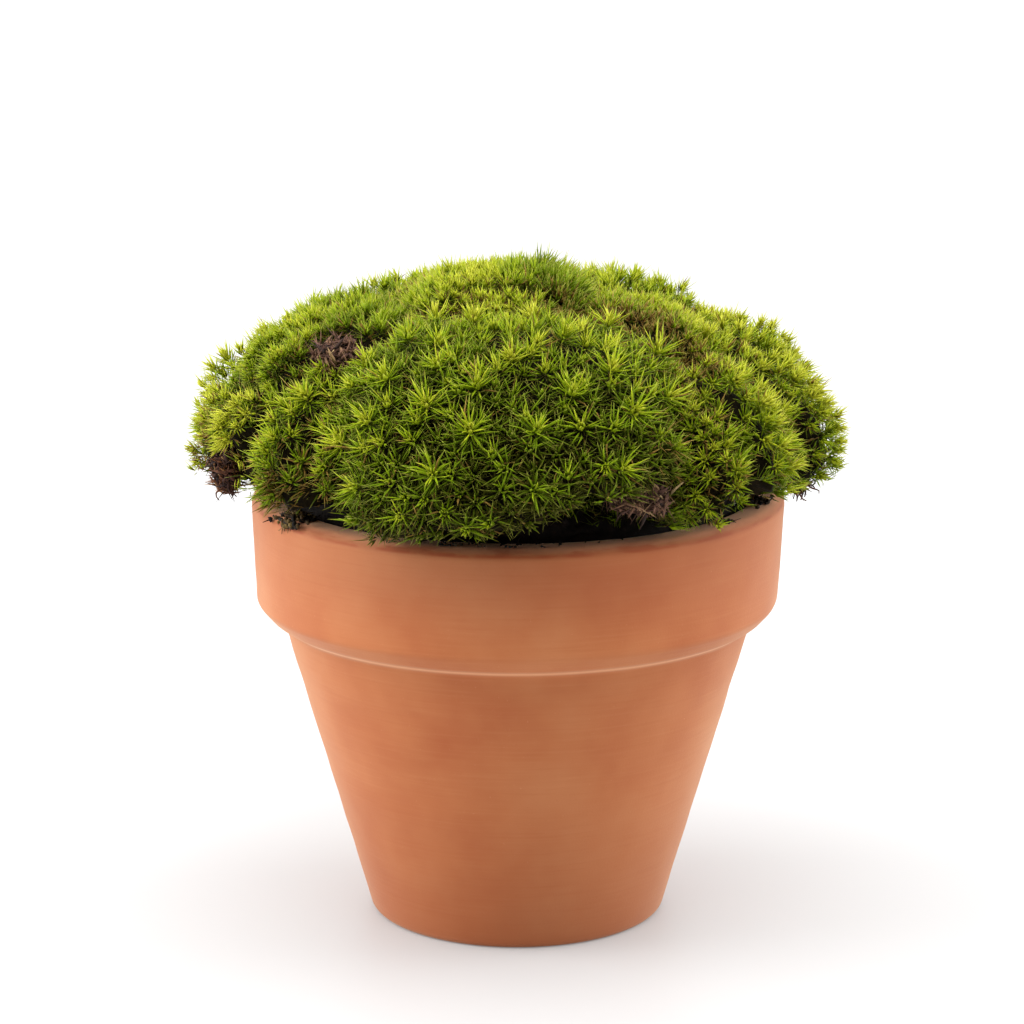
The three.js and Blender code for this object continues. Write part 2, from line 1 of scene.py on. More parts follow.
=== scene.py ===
"""Potted moss campion: a clay pot heaped with a low cushion of star-shaped leafy shoots.

Metres, +Z up, the origin at the middle of the pot's foot, and -Y the side that the camera sees. Sizes are
given in millimetres and become metres when a mesh is made.
"""

from __future__ import annotations

import logging
import math
from dataclasses import dataclass, field, fields
from enum import Enum
from typing import ClassVar, Self

import bpy
import numpy as np
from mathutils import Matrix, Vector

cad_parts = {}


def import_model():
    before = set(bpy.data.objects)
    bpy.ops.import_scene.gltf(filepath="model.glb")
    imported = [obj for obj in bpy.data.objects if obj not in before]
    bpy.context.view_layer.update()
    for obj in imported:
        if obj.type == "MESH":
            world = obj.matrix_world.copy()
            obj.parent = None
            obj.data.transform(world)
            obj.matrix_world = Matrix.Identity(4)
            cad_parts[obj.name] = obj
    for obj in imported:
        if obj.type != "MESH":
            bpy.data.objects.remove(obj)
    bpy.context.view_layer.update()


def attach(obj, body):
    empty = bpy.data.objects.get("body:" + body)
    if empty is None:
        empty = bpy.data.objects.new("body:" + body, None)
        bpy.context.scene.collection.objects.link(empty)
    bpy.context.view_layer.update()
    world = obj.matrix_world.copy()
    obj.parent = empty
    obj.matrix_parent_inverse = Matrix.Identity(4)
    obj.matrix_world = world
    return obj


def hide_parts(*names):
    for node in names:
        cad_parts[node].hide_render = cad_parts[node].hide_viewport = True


LOG = logging.getLogger("potted_moss_campion")
MM = 0.001
FULL_TURN = 2 * math.pi
GOLDEN_ANGLE = math.pi * (3 - math.sqrt(5))
CHART = "OFBake"  # the map on which each leaf lies by its tone and by the place along it

# The clay pot, from the same sizes as its solid.
POT_HEIGHT = 81.5
RIM_R = 50.0
LIP_INNER_R = 43.8
SOIL_EDGE_Z = 78.5
SOIL_TOP_Z = 100.0

# The cushion: an oblate dome about its heart.
HEART = np.array([0.0, 0.8, 90.0])
SPREAD = 54.5
RISE = 28.5
HEM_DROP = 15.7
CREASE_DEPTH = 4.0
CREASE_WIDTH = 6.0
CREASE_BLUNTNESS = 1.5
RIB_FIRST_DEG = 50
RIB_TURN_DEG = 12.5
RIB_HEIGHT = 2.6
RIB_TOP_Z = 113
RIB_FADE = 7
REACH = np.array([63.2, 65.4, 129.8])  # no leaf's tip lies farther out than this


def linear(code: str) -> tuple[float, float, float, float]:
    """Turn an sRGB hex colour into linear light.

    Args:
        code: the colour, such as "#c0754e".

    Returns:
        Red, green, blue and 1 for opaque.
    """
    parts = [int(code[i : i + 2], 16) / 255 for i in (1, 3, 5)]
    red, green, blue = (c / 12.92 if c <= 0.04045 else ((c + 0.055) / 1.055) ** 2.4 for c in parts)
    return red, green, blue, 1.0


def unit(vectors: np.ndarray) -> np.ndarray:
    """Scale each vector of an array to a length of 1."""
    return vectors / np.maximum(np.linalg.norm(vectors, axis=-1, keepdims=True), 1e-9)


def dots(one: np.ndarray, other: np.ndarray) -> np.ndarray:
    """Multiply two arrays of vectors into an array of dot products, kept as a column."""
    return (one * other).sum(-1, keepdims=True)


def off_axis(points: np.ndarray) -> np.ndarray:
    """Give how far points lie from the pot's axis."""
    return np.hypot(points[..., 0], points[..., 1])


def angle_round(points: np.ndarray) -> np.ndarray:
    """Give the angle of points round the pot's axis, in radians."""
    return np.arctan2(points[..., 1], points[..., 0])


def seeded_draws(seed: int, count: int) -> np.ndarray:
    """Draw the evenly spread numbers that the solids were scattered with.

    Args:
        seed: where the row of numbers starts.
        count: how many numbers.

    Returns:
        Numbers from 0 to 1.
    """
    whole = 0xFFFFFFFF
    steps = np.arange(1, count + 1, dtype=np.uint64)
    state = (np.uint64(seed) + steps * np.uint64(0x6D2B79F5)) & np.uint64(whole)
    mixed = ((state ^ (state >> np.uint64(15))) * (state | np.uint64(1))) & np.uint64(whole)
    turned = ((mixed ^ (mixed >> np.uint64(7))) * (mixed | np.uint64(61))) & np.uint64(whole)
    mixed ^= (mixed + turned) & np.uint64(whole)
    return (mixed ^ (mixed >> np.uint64(14))).astype(float) / (whole + 1)


def directions(draws: np.ndarray, lowest: float) -> np.ndarray:
    """Turn pairs of draws into directions, evenly over the sphere above a given fall.

    Args:
        draws: pairs of numbers from 0 to 1.
        lowest: the least z that a direction may have.

    Returns:
        One unit vector for each pair.
    """
    z = lowest + (1 - lowest) * draws[:, 0]
    azimuth = FULL_TURN * draws[:, 1]
    flat = np.sqrt(1 - z * z)
    return np.stack([flat * np.cos(azimuth), flat * np.sin(azimuth), z], 1)


@dataclass(frozen=True)
class Ripple:
    """Smooth, seeded variation over space, as a sum of waves."""

    wavelength: float
    seed: int
    waves: int = 9

    def at(self, points: np.ndarray) -> np.ndarray:
        """Read the variation at points in millimetres.

        Args:
            points: an array of places.

        Returns:
            Numbers about 0, mostly from -1 to 1.
        """
        rng = np.random.default_rng(self.seed)
        ways = unit(rng.normal(size=(self.waves, 3))) * FULL_TURN / self.wavelength
        ways *= rng.uniform(0.6, 1.6, (self.waves, 1))
        phases = rng.uniform(0, FULL_TURN, self.waves)
        return np.sin(points @ ways.T + phases).sum(-1) / math.sqrt(self.waves)


@dataclass
class Rows:
    """A set of things, kept as arrays that have one row for each."""

    def only(self, chosen: np.ndarray) -> Self:
        """Keep the chosen rows."""
        return type(self)(*(getattr(self, row.name)[chosen] for row in fields(self)))

    def followed_by(self, others: Self) -> Self:
        """Put the rows of another set after these."""
        pairs = ((getattr(self, row.name), getattr(others, row.name)) for row in fields(self))
        return type(self)(*(np.concatenate(pair) for pair in pairs))


@dataclass
class Shell:
    """A closed mesh in the making: corners in millimetres, triangles, map places and finish numbers."""

    corners: np.ndarray
    faces: np.ndarray
    chart: np.ndarray
    finish: int = 0

    @staticmethod
    def joined(shells: list[Shell]) -> tuple[np.ndarray, np.ndarray, np.ndarray, np.ndarray]:
        """Put shells into one set of arrays.

        Args:
            shells: the shells to join.

        Returns:
            Corners, triangles, map places and a finish number for each triangle.
        """
        starts = np.cumsum([0] + [len(shell.corners) for shell in shells[:-1]])
        faces = [shell.faces + start for shell, start in zip(shells, starts)]
        finishes = [np.full(len(shell.faces), shell.finish) for shell in shells]
        corners = np.concatenate([shell.corners for shell in shells])
        chart = np.concatenate([shell.chart for shell in shells])
        return corners, np.concatenate(faces), chart, np.concatenate(finishes)


def make_piece(name: str, shells: list[Shell], finishes: list[bpy.types.Material]) -> bpy.types.Object:
    """Make one smooth mesh object from closed shells, and report it.

    Args:
        name: the piece's name.
        shells: what it is made of.
        finishes: the materials that the shells' finish numbers point to.

    Returns:
        The new object, linked to the scene.
    """
    corners, faces, chart, numbers = Shell.joined(shells)
    mesh = bpy.data.meshes.new(name)
    mesh.vertices.add(len(corners))
    mesh.vertices.foreach_set("co", (corners * MM).astype(np.float32).ravel())
    mesh.loops.add(3 * len(faces))
    mesh.loops.foreach_set("vertex_index", faces.astype(np.int32).ravel())
    mesh.polygons.add(len(faces))
    mesh.polygons.foreach_set("loop_start", np.arange(0, 3 * len(faces), 3, dtype=np.int32))
    for finish in finishes:
        mesh.materials.append(finish)
    mesh.polygons.foreach_set("material_index", numbers.astype(np.int32))
    places = mesh.uv_layers.new(name=CHART, do_init=False)
    places.uv.foreach_set("vector", chart[faces.ravel()].astype(np.float32).ravel())
    mesh.update(calc_edges=True)
    mesh.shade_smooth()
    piece = bpy.data.objects.new(name, mesh)
    bpy.context.scene.collection.objects.link(piece)
    LOG.info("%s: %d triangles", name, len(faces))
    return piece


def sphere_net(levels: int) -> tuple[np.ndarray, np.ndarray]:
    """Make an even net of triangles on the unit sphere.

    Args:
        levels: how many times an icosahedron's faces are quartered.

    Returns:
        Unit vectors and triangles.
    """
    g = (1 + math.sqrt(5)) / 2
    corners = [(-1, g, 0), (1, g, 0), (-1, -g, 0), (1, -g, 0), (0, -1, g), (0, 1, g)]
    corners += [(0, -1, -g), (0, 1, -g), (g, 0, -1), (g, 0, 1), (-g, 0, -1), (-g, 0, 1)]
    faces = [(0, 11, 5), (0, 5, 1), (0, 1, 7), (0, 7, 10), (0, 10, 11), (1, 5, 9), (5, 11, 4)]
    faces += [(11, 10, 2), (10, 7, 6), (7, 1, 8), (3, 9, 4), (3, 4, 2), (3, 2, 6), (3, 6, 8)]
    faces += [(3, 8, 9), (4, 9, 5), (2, 4, 11), (6, 2, 10), (8, 6, 7), (9, 8, 1)]
    for _ in range(levels):
        middles: dict[tuple[int, int], int] = {}
        finer = []
        for face in faces:
            halves = []
            for k in range(3):
                edge = tuple(sorted((face[k], face[(k + 1) % 3])))
                if edge not in middles:
                    middles[edge] = len(corners)
                    one, other = corners[edge[0]], corners[edge[1]]
                    corners.append(tuple((a + b) / 2 for a, b in zip(one, other)))
                halves.append(middles[edge])
            a, b, c = face
            ab, bc, ca = halves
            finer += [(a, ab, ca), (b, bc, ab), (c, ca, bc), (ab, bc, ca)]
        faces = finer
    return unit(np.array(corners, float)), np.array(faces)


def turned_shell(profile: np.ndarray, sides: int, closed: bool) -> Shell:
    """Turn a profile about the Z axis.

    Args:
        profile: radius and height of each point, in the order that leaves the solid on its left.
        sides: how many steps round.
        closed: whether the profile is a ring; if not, it starts and ends on the axis.

    Returns:
        The closed shell, mapped by the way round and the way along the profile.
    """
    count = len(profile)
    angles = FULL_TURN * np.arange(sides) / sides
    r, z = profile[:, 0], profile[:, 1]
    x = r[:, None] * np.cos(angles)
    y = r[:, None] * np.sin(angles)
    corners = np.stack([x, y, np.broadcast_to(z[:, None], x.shape)], -1).reshape(-1, 3)
    rows = np.arange(count if closed else count - 1)
    low, high = rows[:, None] * sides, ((rows + 1) % count)[:, None] * sides
    here, there = np.arange(sides), (np.arange(sides) + 1) % sides
    quads = np.stack([low + here, low + there, high + there, high + here], -1).reshape(-1, 4)
    faces = np.concatenate([quads[:, [0, 1, 2]], quads[:, [0, 2, 3]]])
    along = np.linspace(0, 1, count)
    chart = np.stack(np.broadcast_arrays(np.linspace(0, 1, sides), along[:, None]), -1)
    return Shell(corners, faces, chart.reshape(-1, 2))


def tube(path: np.ndarray, radii: np.ndarray, tone: float, sides: int = 5) -> Shell:
    """Make a thin closed tube along a path.

    Args:
        path: points in millimetres.
        radii: the tube's radius at each point.
        tone: its place across the chart.
        sides: how many sides it has.

    Returns:
        The closed shell, mapped by its tone and the way along it.
    """
    run = unit(np.gradient(path, axis=0))
    side = unit(np.cross(run, np.array([0.37, 0.61, 0.70])))
    over = np.cross(run, side)
    turn = FULL_TURN * np.arange(sides) / sides
    ring = np.cos(turn)[None, :, None] * side[:, None] + np.sin(turn)[None, :, None] * over[:, None]
    corners = (path[:, None] + ring * radii[:, None, None]).reshape(-1, 3)
    corners = np.concatenate([corners, path[:1], path[-1:]])
    count = len(path)
    low = sides * np.arange(count - 1)[:, None]
    here, there = np.arange(sides), (np.arange(sides) + 1) % sides
    quads = np.stack([low + here, low + there, low + sides + there, low + sides + here], -1).reshape(-1, 4)
    start, end, last = count * sides, count * sides + 1, (count - 1) * sides
    foot = np.stack([np.full(sides, start), there, here], 1)
    top = np.stack([np.full(sides, end), last + here, last + there], 1)
    faces = np.concatenate([quads[:, [0, 1, 2]], quads[:, [0, 2, 3]], foot, top])
    along = np.concatenate([np.repeat(np.linspace(0.05, 0.95, count), sides), [0.05, 0.95]])
    across = np.concatenate([np.tile(tone + 0.012 * np.cos(turn), count), [tone, tone]])
    return Shell(corners, faces, np.stack([np.clip(across, 0.001, 0.999), along], 1))


# Shader nodes, and the settings that many of them share.

SMOOTH = {"interpolation_type": "SMOOTHSTEP"}
COLOURS = {"data_type": "RGBA"}
SHADED = {"data_type": "RGBA", "blend_type": "MULTIPLY"}
TIMES = {"operation": "MULTIPLY"}


def add_node(tree: bpy.types.NodeTree, kind: str, links: dict | None = None, **settings) -> bpy.types.Node:
    """Add a node with its settings and links.

    Args:
        tree: the node tree.
        kind: the node's type name.
        links: a value or an output for each input, by the input's name or number.
        settings: the node's own properties.

    Returns:
        The node.
    """
    node = tree.nodes.new(kind)
    for name, value in settings.items():
        setattr(node, name, value)
    for socket, value in (links or {}).items():
        if isinstance(value, bpy.types.NodeSocket):
            tree.links.new(value, node.inputs[socket])
        else:
            node.inputs[socket].default_value = value
    return node


def set_stops(ramp: bpy.types.Node, stops: list[tuple[float, str]]) -> bpy.types.NodeSocket:
    """Fill a colour ramp.

    Args:
        ramp: a colour ramp node.
        stops: a place from 0 to 1 and an sRGB colour for each stop.

    Returns:
        The ramp's colour output.
    """
    elements = ramp.color_ramp.elements
    while len(elements) < len(stops):
        elements.new(0.5)
    for element, (place, code) in zip(elements, stops):
        element.position = place
        element.color = linear(code)
    return ramp.outputs["Color"]


class Roughness(Enum):
    """How matt each kind of surface is."""

    LEAF = 0.4
    DRY_PLANT = 0.78
    FIRED_CLAY = 0.72
    DAMP_SOIL = 0.7
    STUDIO_FLOOR = 0.5


def bare_material(name: str) -> tuple[bpy.types.Material, bpy.types.NodeTree, bpy.types.Node]:
    """Make a material with a Principled shader and nothing else.

    Args:
        name: what the material is.

    Returns:
        The material, its tree and the shader.
    """
    material = bpy.data.materials.new(name)
    material.use_nodes = True
    tree = material.node_tree
    return material, tree, tree.nodes["Principled BSDF"]


@dataclass(frozen=True)
class GrownLeaf:
    """Fresh and aged moss campion leaves, grown as narrow keeled needles.

    The eye sees a faintly glinting yellow-green that is brightest in the heart of each shoot, darker and
    browner down its stem, and bleached at many tips. Across the chart lies the leaf's age, from dry at 0
    through old olive and grown green to fresh yellow-green at 1. Up the chart lies the place along the leaf.
    """

    tones: tuple[tuple[float, str], ...] = (
        (0.00, "#4a3516"),
        (0.09, "#94743a"),
        (0.17, "#3a3a0e"),
        (0.32, "#45520c"),
        (0.50, "#5e7410"),
        (0.66, "#819814"),
        (0.82, "#a6b022"),
        (1.00, "#c3c43c"),
    )
    base: str = "#3f4a10"
    pale_tip: str = "#d2cf62"
    brown_tip: str = "#a5793f"

    def build(self) -> bpy.types.Material:
        """Build the material.

        Returns:
            The material.
        """
        material, tree, shader = bare_material("moss_campion_leaf_grown")
        places = add_node(tree, "ShaderNodeUVMap", uv_map=CHART)
        split = add_node(tree, "ShaderNodeSeparateXYZ", {0: places.outputs["UV"]})
        age, along = split.outputs["X"], split.outputs["Y"]
        tone = set_stops(add_node(tree, "ShaderNodeValToRGB", {0: age}), list(self.tones))
        foot = add_node(tree, "ShaderNodeMapRange", {0: along, 1: 0.1, 2: 0.5, 3: 0.8, 4: 0.0}, **SMOOTH)
        # Old leaves darken toward their foot; fresh ones stay bright down to the heart of the shoot.
        aged = add_node(tree, "ShaderNodeMapRange", {0: age, 1: 0.4, 2: 0.75, 3: 1.0, 4: 0.12}, **SMOOTH)
        shade = add_node(tree, "ShaderNodeMath", {0: foot.outputs[0], 1: aged.outputs[0]}, **TIMES)
        shaded = {0: shade.outputs[0], 6: tone, 7: linear(self.base)}
        shaded = add_node(tree, "ShaderNodeMix", shaded, **SHADED)
        tip = add_node(tree, "ShaderNodeMapRange", {0: along, 1: 0.7, 2: 0.98, 3: 0.0, 4: 0.5}, **SMOOTH)
        # Tips take turns between bleached and browned, every fiftieth of the range of ages.
        turns = add_node(tree, "ShaderNodeMath", {0: age, 1: 50.0 * FULL_TURN}, **TIMES)
        wave = add_node(tree, "ShaderNodeMath", {0: turns.outputs[0]}, operation="SINE")
        browned = add_node(tree, "ShaderNodeMapRange", {0: wave.outputs[0], 1: 0.6, 2: 0.95})
        tips = {0: browned.outputs[0], 6: linear(self.pale_tip), 7: linear(self.brown_tip)}
        tips = add_node(tree, "ShaderNodeMix", tips, **COLOURS)
        colour = {0: tip.outputs[0], 6: shaded.outputs[2], 7: tips.outputs[2]}
        colour = add_node(tree, "ShaderNodeMix", colour, **COLOURS)
        tree.links.new(colour.outputs[2], shader.inputs["Base Color"])
        shader.inputs["Roughness"].default_value = Roughness.LEAF.value
        shader.inputs["IOR"].default_value = 1.42
        shader.inputs["Specular IOR Level"].default_value = 0.15
        shader.inputs["Specular Tint"].default_value = linear("#c9d064")
        return material


@dataclass(frozen=True)
class PeatySoil:
    """Damp potting soil, crumbled by hand, with fibres and old leaf mould.

    The eye sees near-black crumbs with a faint damp sheen and a few browner flecks.
    """

    name: str = "potting_soil_crumbled"
    dark: str = "#0e0a08"
    mid: str = "#1f1712"
    fleck: str = "#3d2c20"
    crumb_mm: float = 1.2
    gloss: float = 0.12

    def build(self) -> bpy.types.Material:
        """Build the material.

        Returns:
            The material.
        """
        material, tree, shader = bare_material(self.name)
        place = add_node(tree, "ShaderNodeTexCoord").outputs["Object"]
        grain = {"Vector": place, "Scale": 1 / (self.crumb_mm * MM), "Detail": 5.0, "Roughness": 0.65}
        crumbs = add_node(tree, "ShaderNodeTexNoise", grain)
        stops = [(0.35, self.dark), (0.6, self.mid), (0.78, self.fleck)]
        colour = set_stops(add_node(tree, "ShaderNodeValToRGB", {0: crumbs.outputs[0]}), stops)
        relief = {"Height": crumbs.outputs[0], "Strength": 0.6, "Distance": 0.4 * MM}
        bump = add_node(tree, "ShaderNodeBump", relief)
        tree.links.new(colour, shader.inputs["Base Color"])
        tree.links.new(bump.outputs[0], shader.inputs["Normal"])
        shader.inputs["Roughness"].default_value = Roughness.DAMP_SOIL.value
        shader.inputs["Specular IOR Level"].default_value = self.gloss
        return material


@dataclass(frozen=True)
class ClayBand:
    """A colour that lies round the pot between two heights in millimetres, strongest midway.

    share is how much of it there is midway. It may lie on the front alone, and it may come in patches.
    """

    what: str
    colour: str
    foot_z: float
    top_z: float
    share: float
    front_only: bool = False
    patchy: bool = False

    def laid(
        self,
        tree: bpy.types.NodeTree,
        under: bpy.types.NodeSocket,
        height: bpy.types.NodeSocket,
        limits: list[bpy.types.NodeSocket],
    ) -> bpy.types.NodeSocket:
        """Lay the band over the clay.

        Args:
            tree: the node tree.
            under: the clay's colour below the band.
            height: the height in metres.
            limits: shares that thin the band from place to place.

        Returns:
            The clay's colour with the band.
        """
        low, high = self.foot_z * MM, self.top_z * MM
        middle = (low + high) / 2
        rising = {0: height, 1: low, 2: middle, 3: 0.0, 4: self.share}
        falling = {0: height, 1: middle, 2: high, 3: 1.0, 4: 0.0}
        share = add_node(tree, "ShaderNodeMapRange", rising, **SMOOTH).outputs[0]
        for limit in [add_node(tree, "ShaderNodeMapRange", falling, **SMOOTH).outputs[0]] + limits:
            share = add_node(tree, "ShaderNodeMath", {0: share, 1: limit}, **TIMES).outputs[0]
        mixed = {0: share, 6: under, 7: linear(self.colour)}
        return add_node(tree, "ShaderNodeMix", mixed, label=self.what, **COLOURS).outputs[2]


@dataclass(frozen=True)
class FiredClay:
    """Terracotta: red earthenware, thrown on a wheel, scraped and fired without glaze.

    The eye sees a dry, matt orange-brown with faint drag lines from the turning, cloudy paler patches where
    salts dried on it, painted shade that darkens the band's front, painted shade that darkens and reddens the
    clay toward the foot, painted light on the top of the lip with streaks of a dark red stain below it, and a
    pale line where the band meets the body.
    """

    body: str = "#ba6c3c"
    deep: str = "#ad5a2c"
    pale: str = "#c78252"
    worn: str = "#e3a77c"
    bands: tuple[ClayBand, ...] = (
        # Painted shade: the band's front is darkened where the moss's overhang shades it.
        ClayBand("damp", "#8f4423", 59.5, 92.0, 0.5, front_only=True),
        # Painted shade: the clay darkens and reddens toward the foot, where less light comes up off the
        # floor.
        ClayBand("ruddy_foot", "#9a4a1e", -36.0, 36.0, 0.5),
        # Painted light: the top of the lip is lightened where the moss's overhang shades it.
        ClayBand("dusty_lip", "#eaa87e", 80.2, 83.4, 0.85),
        ClayBand("stain", "#a1471f", 79.6, 81.9, 1.0, front_only=True, patchy=True),
        ClayBand("stained_line", "#a1471f", 79.7, 80.6, 0.75, patchy=True),
        # A pale line where the band meets the body.
        ClayBand("worn_edge", "#e3a77c", 57.0, 58.3, 0.7),
    )
    cloud_mm: float = 42.0
    # The length and height of a drag line and of a smear of stain. Drag lines and grit are finer on such
    # clay, about 0.2 mm, and would not show, so they are drawn as coarse as shows.
    drag_mm: tuple[float, float] = (15.0, 0.5)
    smear_mm: tuple[float, float] = (6.25, 10 / 7)
    grit_mm: float = 0.4
    relief_mm: float = 0.1
    front_y_mm: tuple[float, float] = (-12.0, -44.0)

    def build(self) -> bpy.types.Material:
        """Build the material.

        Returns:
            The material.
        """
        material, tree, shader = bare_material("terracotta_thrown_unglazed")
        place = add_node(tree, "ShaderNodeTexCoord").outputs["Object"]
        split = add_node(tree, "ShaderNodeSeparateXYZ", {0: place})
        drawn_out = []
        for (length, height), detail in ((self.drag_mm, 3.0), (self.smear_mm, 4.0)):
            scale = (1 / (length * MM), 1 / (length * MM), 1 / (height * MM))
            stretched = add_node(tree, "ShaderNodeMapping", {"Vector": place, "Scale": scale}).outputs[0]
            noise = {"Vector": stretched, "Scale": 1.0, "Detail": detail}
            drawn_out.append(add_node(tree, "ShaderNodeTexNoise", noise).outputs[0])
        drags, smears = drawn_out
        lumps = []
        for size in (self.cloud_mm, self.grit_mm):
            noise = {"Vector": place, "Scale": 1 / (size * MM), "Detail": 4.0, "Roughness": 0.6}
            lumps.append(add_node(tree, "ShaderNodeTexNoise", noise).outputs[0])
        clouds, grit = lumps
        cloud_stops = [(0.3, self.deep), (0.5, self.body), (0.78, self.pale)]
        colour = set_stops(add_node(tree, "ShaderNodeValToRGB", {0: clouds}), cloud_stops)
        # Each row: a colour, the noise that it follows, the noise's span, and the colour's share at its ends.
        rows = (
            (self.pale, drags, 0.5, 0.8, 0.0, 0.16),
            (self.deep, drags, 0.5, 0.22, 0.0, 0.2),
            (self.deep, grit, 0.6, 0.76, 0.0, 0.25),
            (self.worn, grit, 0.34, 0.24, 0.0, 0.3),
        )
        for over, *span in rows:
            share = add_node(tree, "ShaderNodeMapRange", dict(enumerate(span)), **SMOOTH).outputs[0]
            mixed = {0: share, 6: colour, 7: linear(over)}
            colour = add_node(tree, "ShaderNodeMix", mixed, **COLOURS).outputs[2]
        near, far = (y * MM for y in self.front_y_mm)
        front = {0: split.outputs["Y"], 1: near, 2: far, 3: 0.1, 4: 0.7}
        front = add_node(tree, "ShaderNodeMapRange", front, **SMOOTH).outputs[0]
        patches = {0: smears, 1: 0.4, 2: 0.62, 3: 0.15, 4: 1.0}
        patches = add_node(tree, "ShaderNodeMapRange", patches, **SMOOTH).outputs[0]
        for band in self.bands:
            limits = [front] if band.front_only else []
            limits += [patches] if band.patchy else []
            colour = band.laid(tree, colour, split.outputs["Z"], limits)
        tree.links.new(colour, shader.inputs["Base Color"])
        relief = add_node(tree, "ShaderNodeMath", {0: drags, 1: grit}, operation="ADD")
        bump = {"Height": relief.outputs[0], "Strength": 0.25, "Distance": self.relief_mm * MM}
        tree.links.new(add_node(tree, "ShaderNodeBump", bump).outputs[0], shader.inputs["Normal"])
        shader.inputs["Roughness"].default_value = Roughness.FIRED_CLAY.value
        shader.inputs["Specular IOR Level"].default_value = 0.42
        shader.inputs["Sheen Weight"].default_value = 0.45
        shader.inputs["Sheen Roughness"].default_value = 0.4
        shader.inputs["Sheen Tint"].default_value = linear("#ffe0c2")
        return material


@dataclass(frozen=True)
class DriedShoot:
    """Dead moss campion shoots and rootlets, dried where they grew.

    The eye sees dull, curled, purplish to straw-brown scraps. Across the chart lies how bleached each scrap
    is, and up it the place along the scrap.
    """

    name: str
    tones: tuple[tuple[float, str], ...]
    foot: str = "#3a2a22"

    def build(self) -> bpy.types.Material:
        """Build the material.

        Returns:
            The material.
        """
        material, tree, shader = bare_material(self.name)
        places = add_node(tree, "ShaderNodeUVMap", uv_map=CHART)
        split = add_node(tree, "ShaderNodeSeparateXYZ", {0: places.outputs["UV"]})
        tone = set_stops(add_node(tree, "ShaderNodeValToRGB", {0: split.outputs["X"]}), list(self.tones))
        foot = add_node(tree, "ShaderNodeMapRange", {0: split.outputs["Y"], 1: 0.0, 2: 0.6, 3: 0.6, 4: 0.0})
        shaded = {0: foot.outputs[0], 6: tone, 7: linear(self.foot)}
        colour = add_node(tree, "ShaderNodeMix", shaded, **SHADED)
        tree.links.new(colour.outputs[2], shader.inputs["Base Color"])
        shader.inputs["Roughness"].default_value = Roughness.DRY_PLANT.value
        shader.inputs["Specular IOR Level"].default_value = 0.3
        return material


# Purplish brown scraps, the dullest thing on the plant.
DRIED_BROWN = DriedShoot(
    "moss_campion_shoots_dried",
    ((0.0, "#241610"), (0.25, "#5a3c2f"), (0.5, "#7d5a44"), (0.75, "#9c7c57"), (1.0, "#b89f70")),
)
# Redder and darker threads that catch the light at their ends.
ROOTLET_BROWN = DriedShoot(
    "moss_campion_rootlets_dried",
    ((0.0, "#1a0f0c"), (0.3, "#4c2a1c"), (0.6, "#80502f"), (0.85, "#a67e4a"), (1.0, "#b9a566")),
)
# Nearly black crumbs with a few straw-coloured ones.
CRUMB_BROWN = DriedShoot(
    "soil_and_moss_crumbs_dried", ((0.0, "#15100b"), (0.3, "#332719"), (0.6, "#54401f"), (1.0, "#8a7238"))
)


# The cushion's ground, from the same rule as its solids.


@dataclass(frozen=True)
class Mound:
    """One mound of the cushion, as a ball pressed against its neighbours.

    Attributes:
        name: its node.
        at: the ball's middle.
        size: the ball's radius.
        swell: how far the mound bulges out of the dome.
        tone: its leaves' place on their chart, from old to fresh.
        leaf: its leaves' length.
        spacing: how far apart its smaller shoots stand.
        rise: how far its shoots' hearts stand above the ground.
        spread: 1 where leaves open into flat stars, 0 where they stand up like a brush.
    """

    name: str
    at: tuple[float, float, float]
    size: float
    swell: float
    tone: float
    leaf: float
    spacing: float
    rise: float
    spread: float


MOUNDS = [
    Mound("mound_front", (-2, -43, 97), 33, 2.4, 0.58, 5.0, 2.8, 2.4, 1.0),
    Mound("mound_front_left", (-40, -38, 93), 14, 0.6, 0.68, 4.2, 2.4, 3.2, 0.45),
    Mound("mound_left", (-54, -13, 93), 16, 0.4, 0.82, 3.4, 1.9, 6.4, 0.1),
    Mound("mound_upper_left", (-37, -5, 108), 21, 0.8, 0.58, 3.3, 1.9, 3.0, 0.1),
    Mound("mound_crown", (-5, 3, 118), 24, 1.2, 0.71, 3.0, 1.8, 2.2, 0.05),
    Mound("mound_upper_right", (24, -3, 113), 18, -0.8, 0.72, 3.0, 1.8, 1.4, 0.05),
    Mound("mound_front_right", (41, -35, 94), 15, 1.2, 0.74, 3.8, 2.2, 3.0, 0.3),
    Mound("mound_right", (54, -10, 93), 15, 0.8, 0.76, 3.4, 1.9, 3.7, 0.1),
    Mound("mound_upper_right_side", (45, 6, 105), 15, 0.6, 0.76, 3.2, 1.9, 3.2, 0.05),
    Mound("mound_back_right", (43, 36, 95), 19, 0.8, 0.68, 3.8, 2.4, 3.8, 0.3),
    Mound("mound_upper_back_right", (22, 26, 112), 16, 0.4, 0.70, 3.3, 2.2, 3.6, 0.1),
    Mound("mound_back", (6, 52, 95), 21, 1, 0.62, 4.6, 2.8, 3.2, 0.7),
    Mound("mound_back_left", (-35, 42, 95), 20, 0.8, 0.68, 4.0, 2.5, 3.8, 0.3),
    Mound("mound_upper_back_left", (-14, 29, 113), 17, 0.8, 0.70, 3.3, 2.2, 3.6, 0.1),
    Mound("mound_left_back", (-55, 16, 94), 16, 0.4, 0.72, 3.6, 2.2, 5.6, 0.1),
]


@dataclass(frozen=True)
class GrownPatch:
    """A place where the shoots grow otherwise: by how much they rise, lengthen, pale, spread and dry more."""

    at: tuple[float, float, float]
    radius: float
    rise: float = 0.0
    leaf: float = 0.0
    tone: float = 0.0
    spread: float = 0.0
    dry: float = 0.0

    def share(self, points: np.ndarray) -> np.ndarray:
        """Give how strongly the patch tells at each point."""
        return np.exp(-((np.linalg.norm(points - np.array(self.at), axis=1) / self.radius) ** 4))


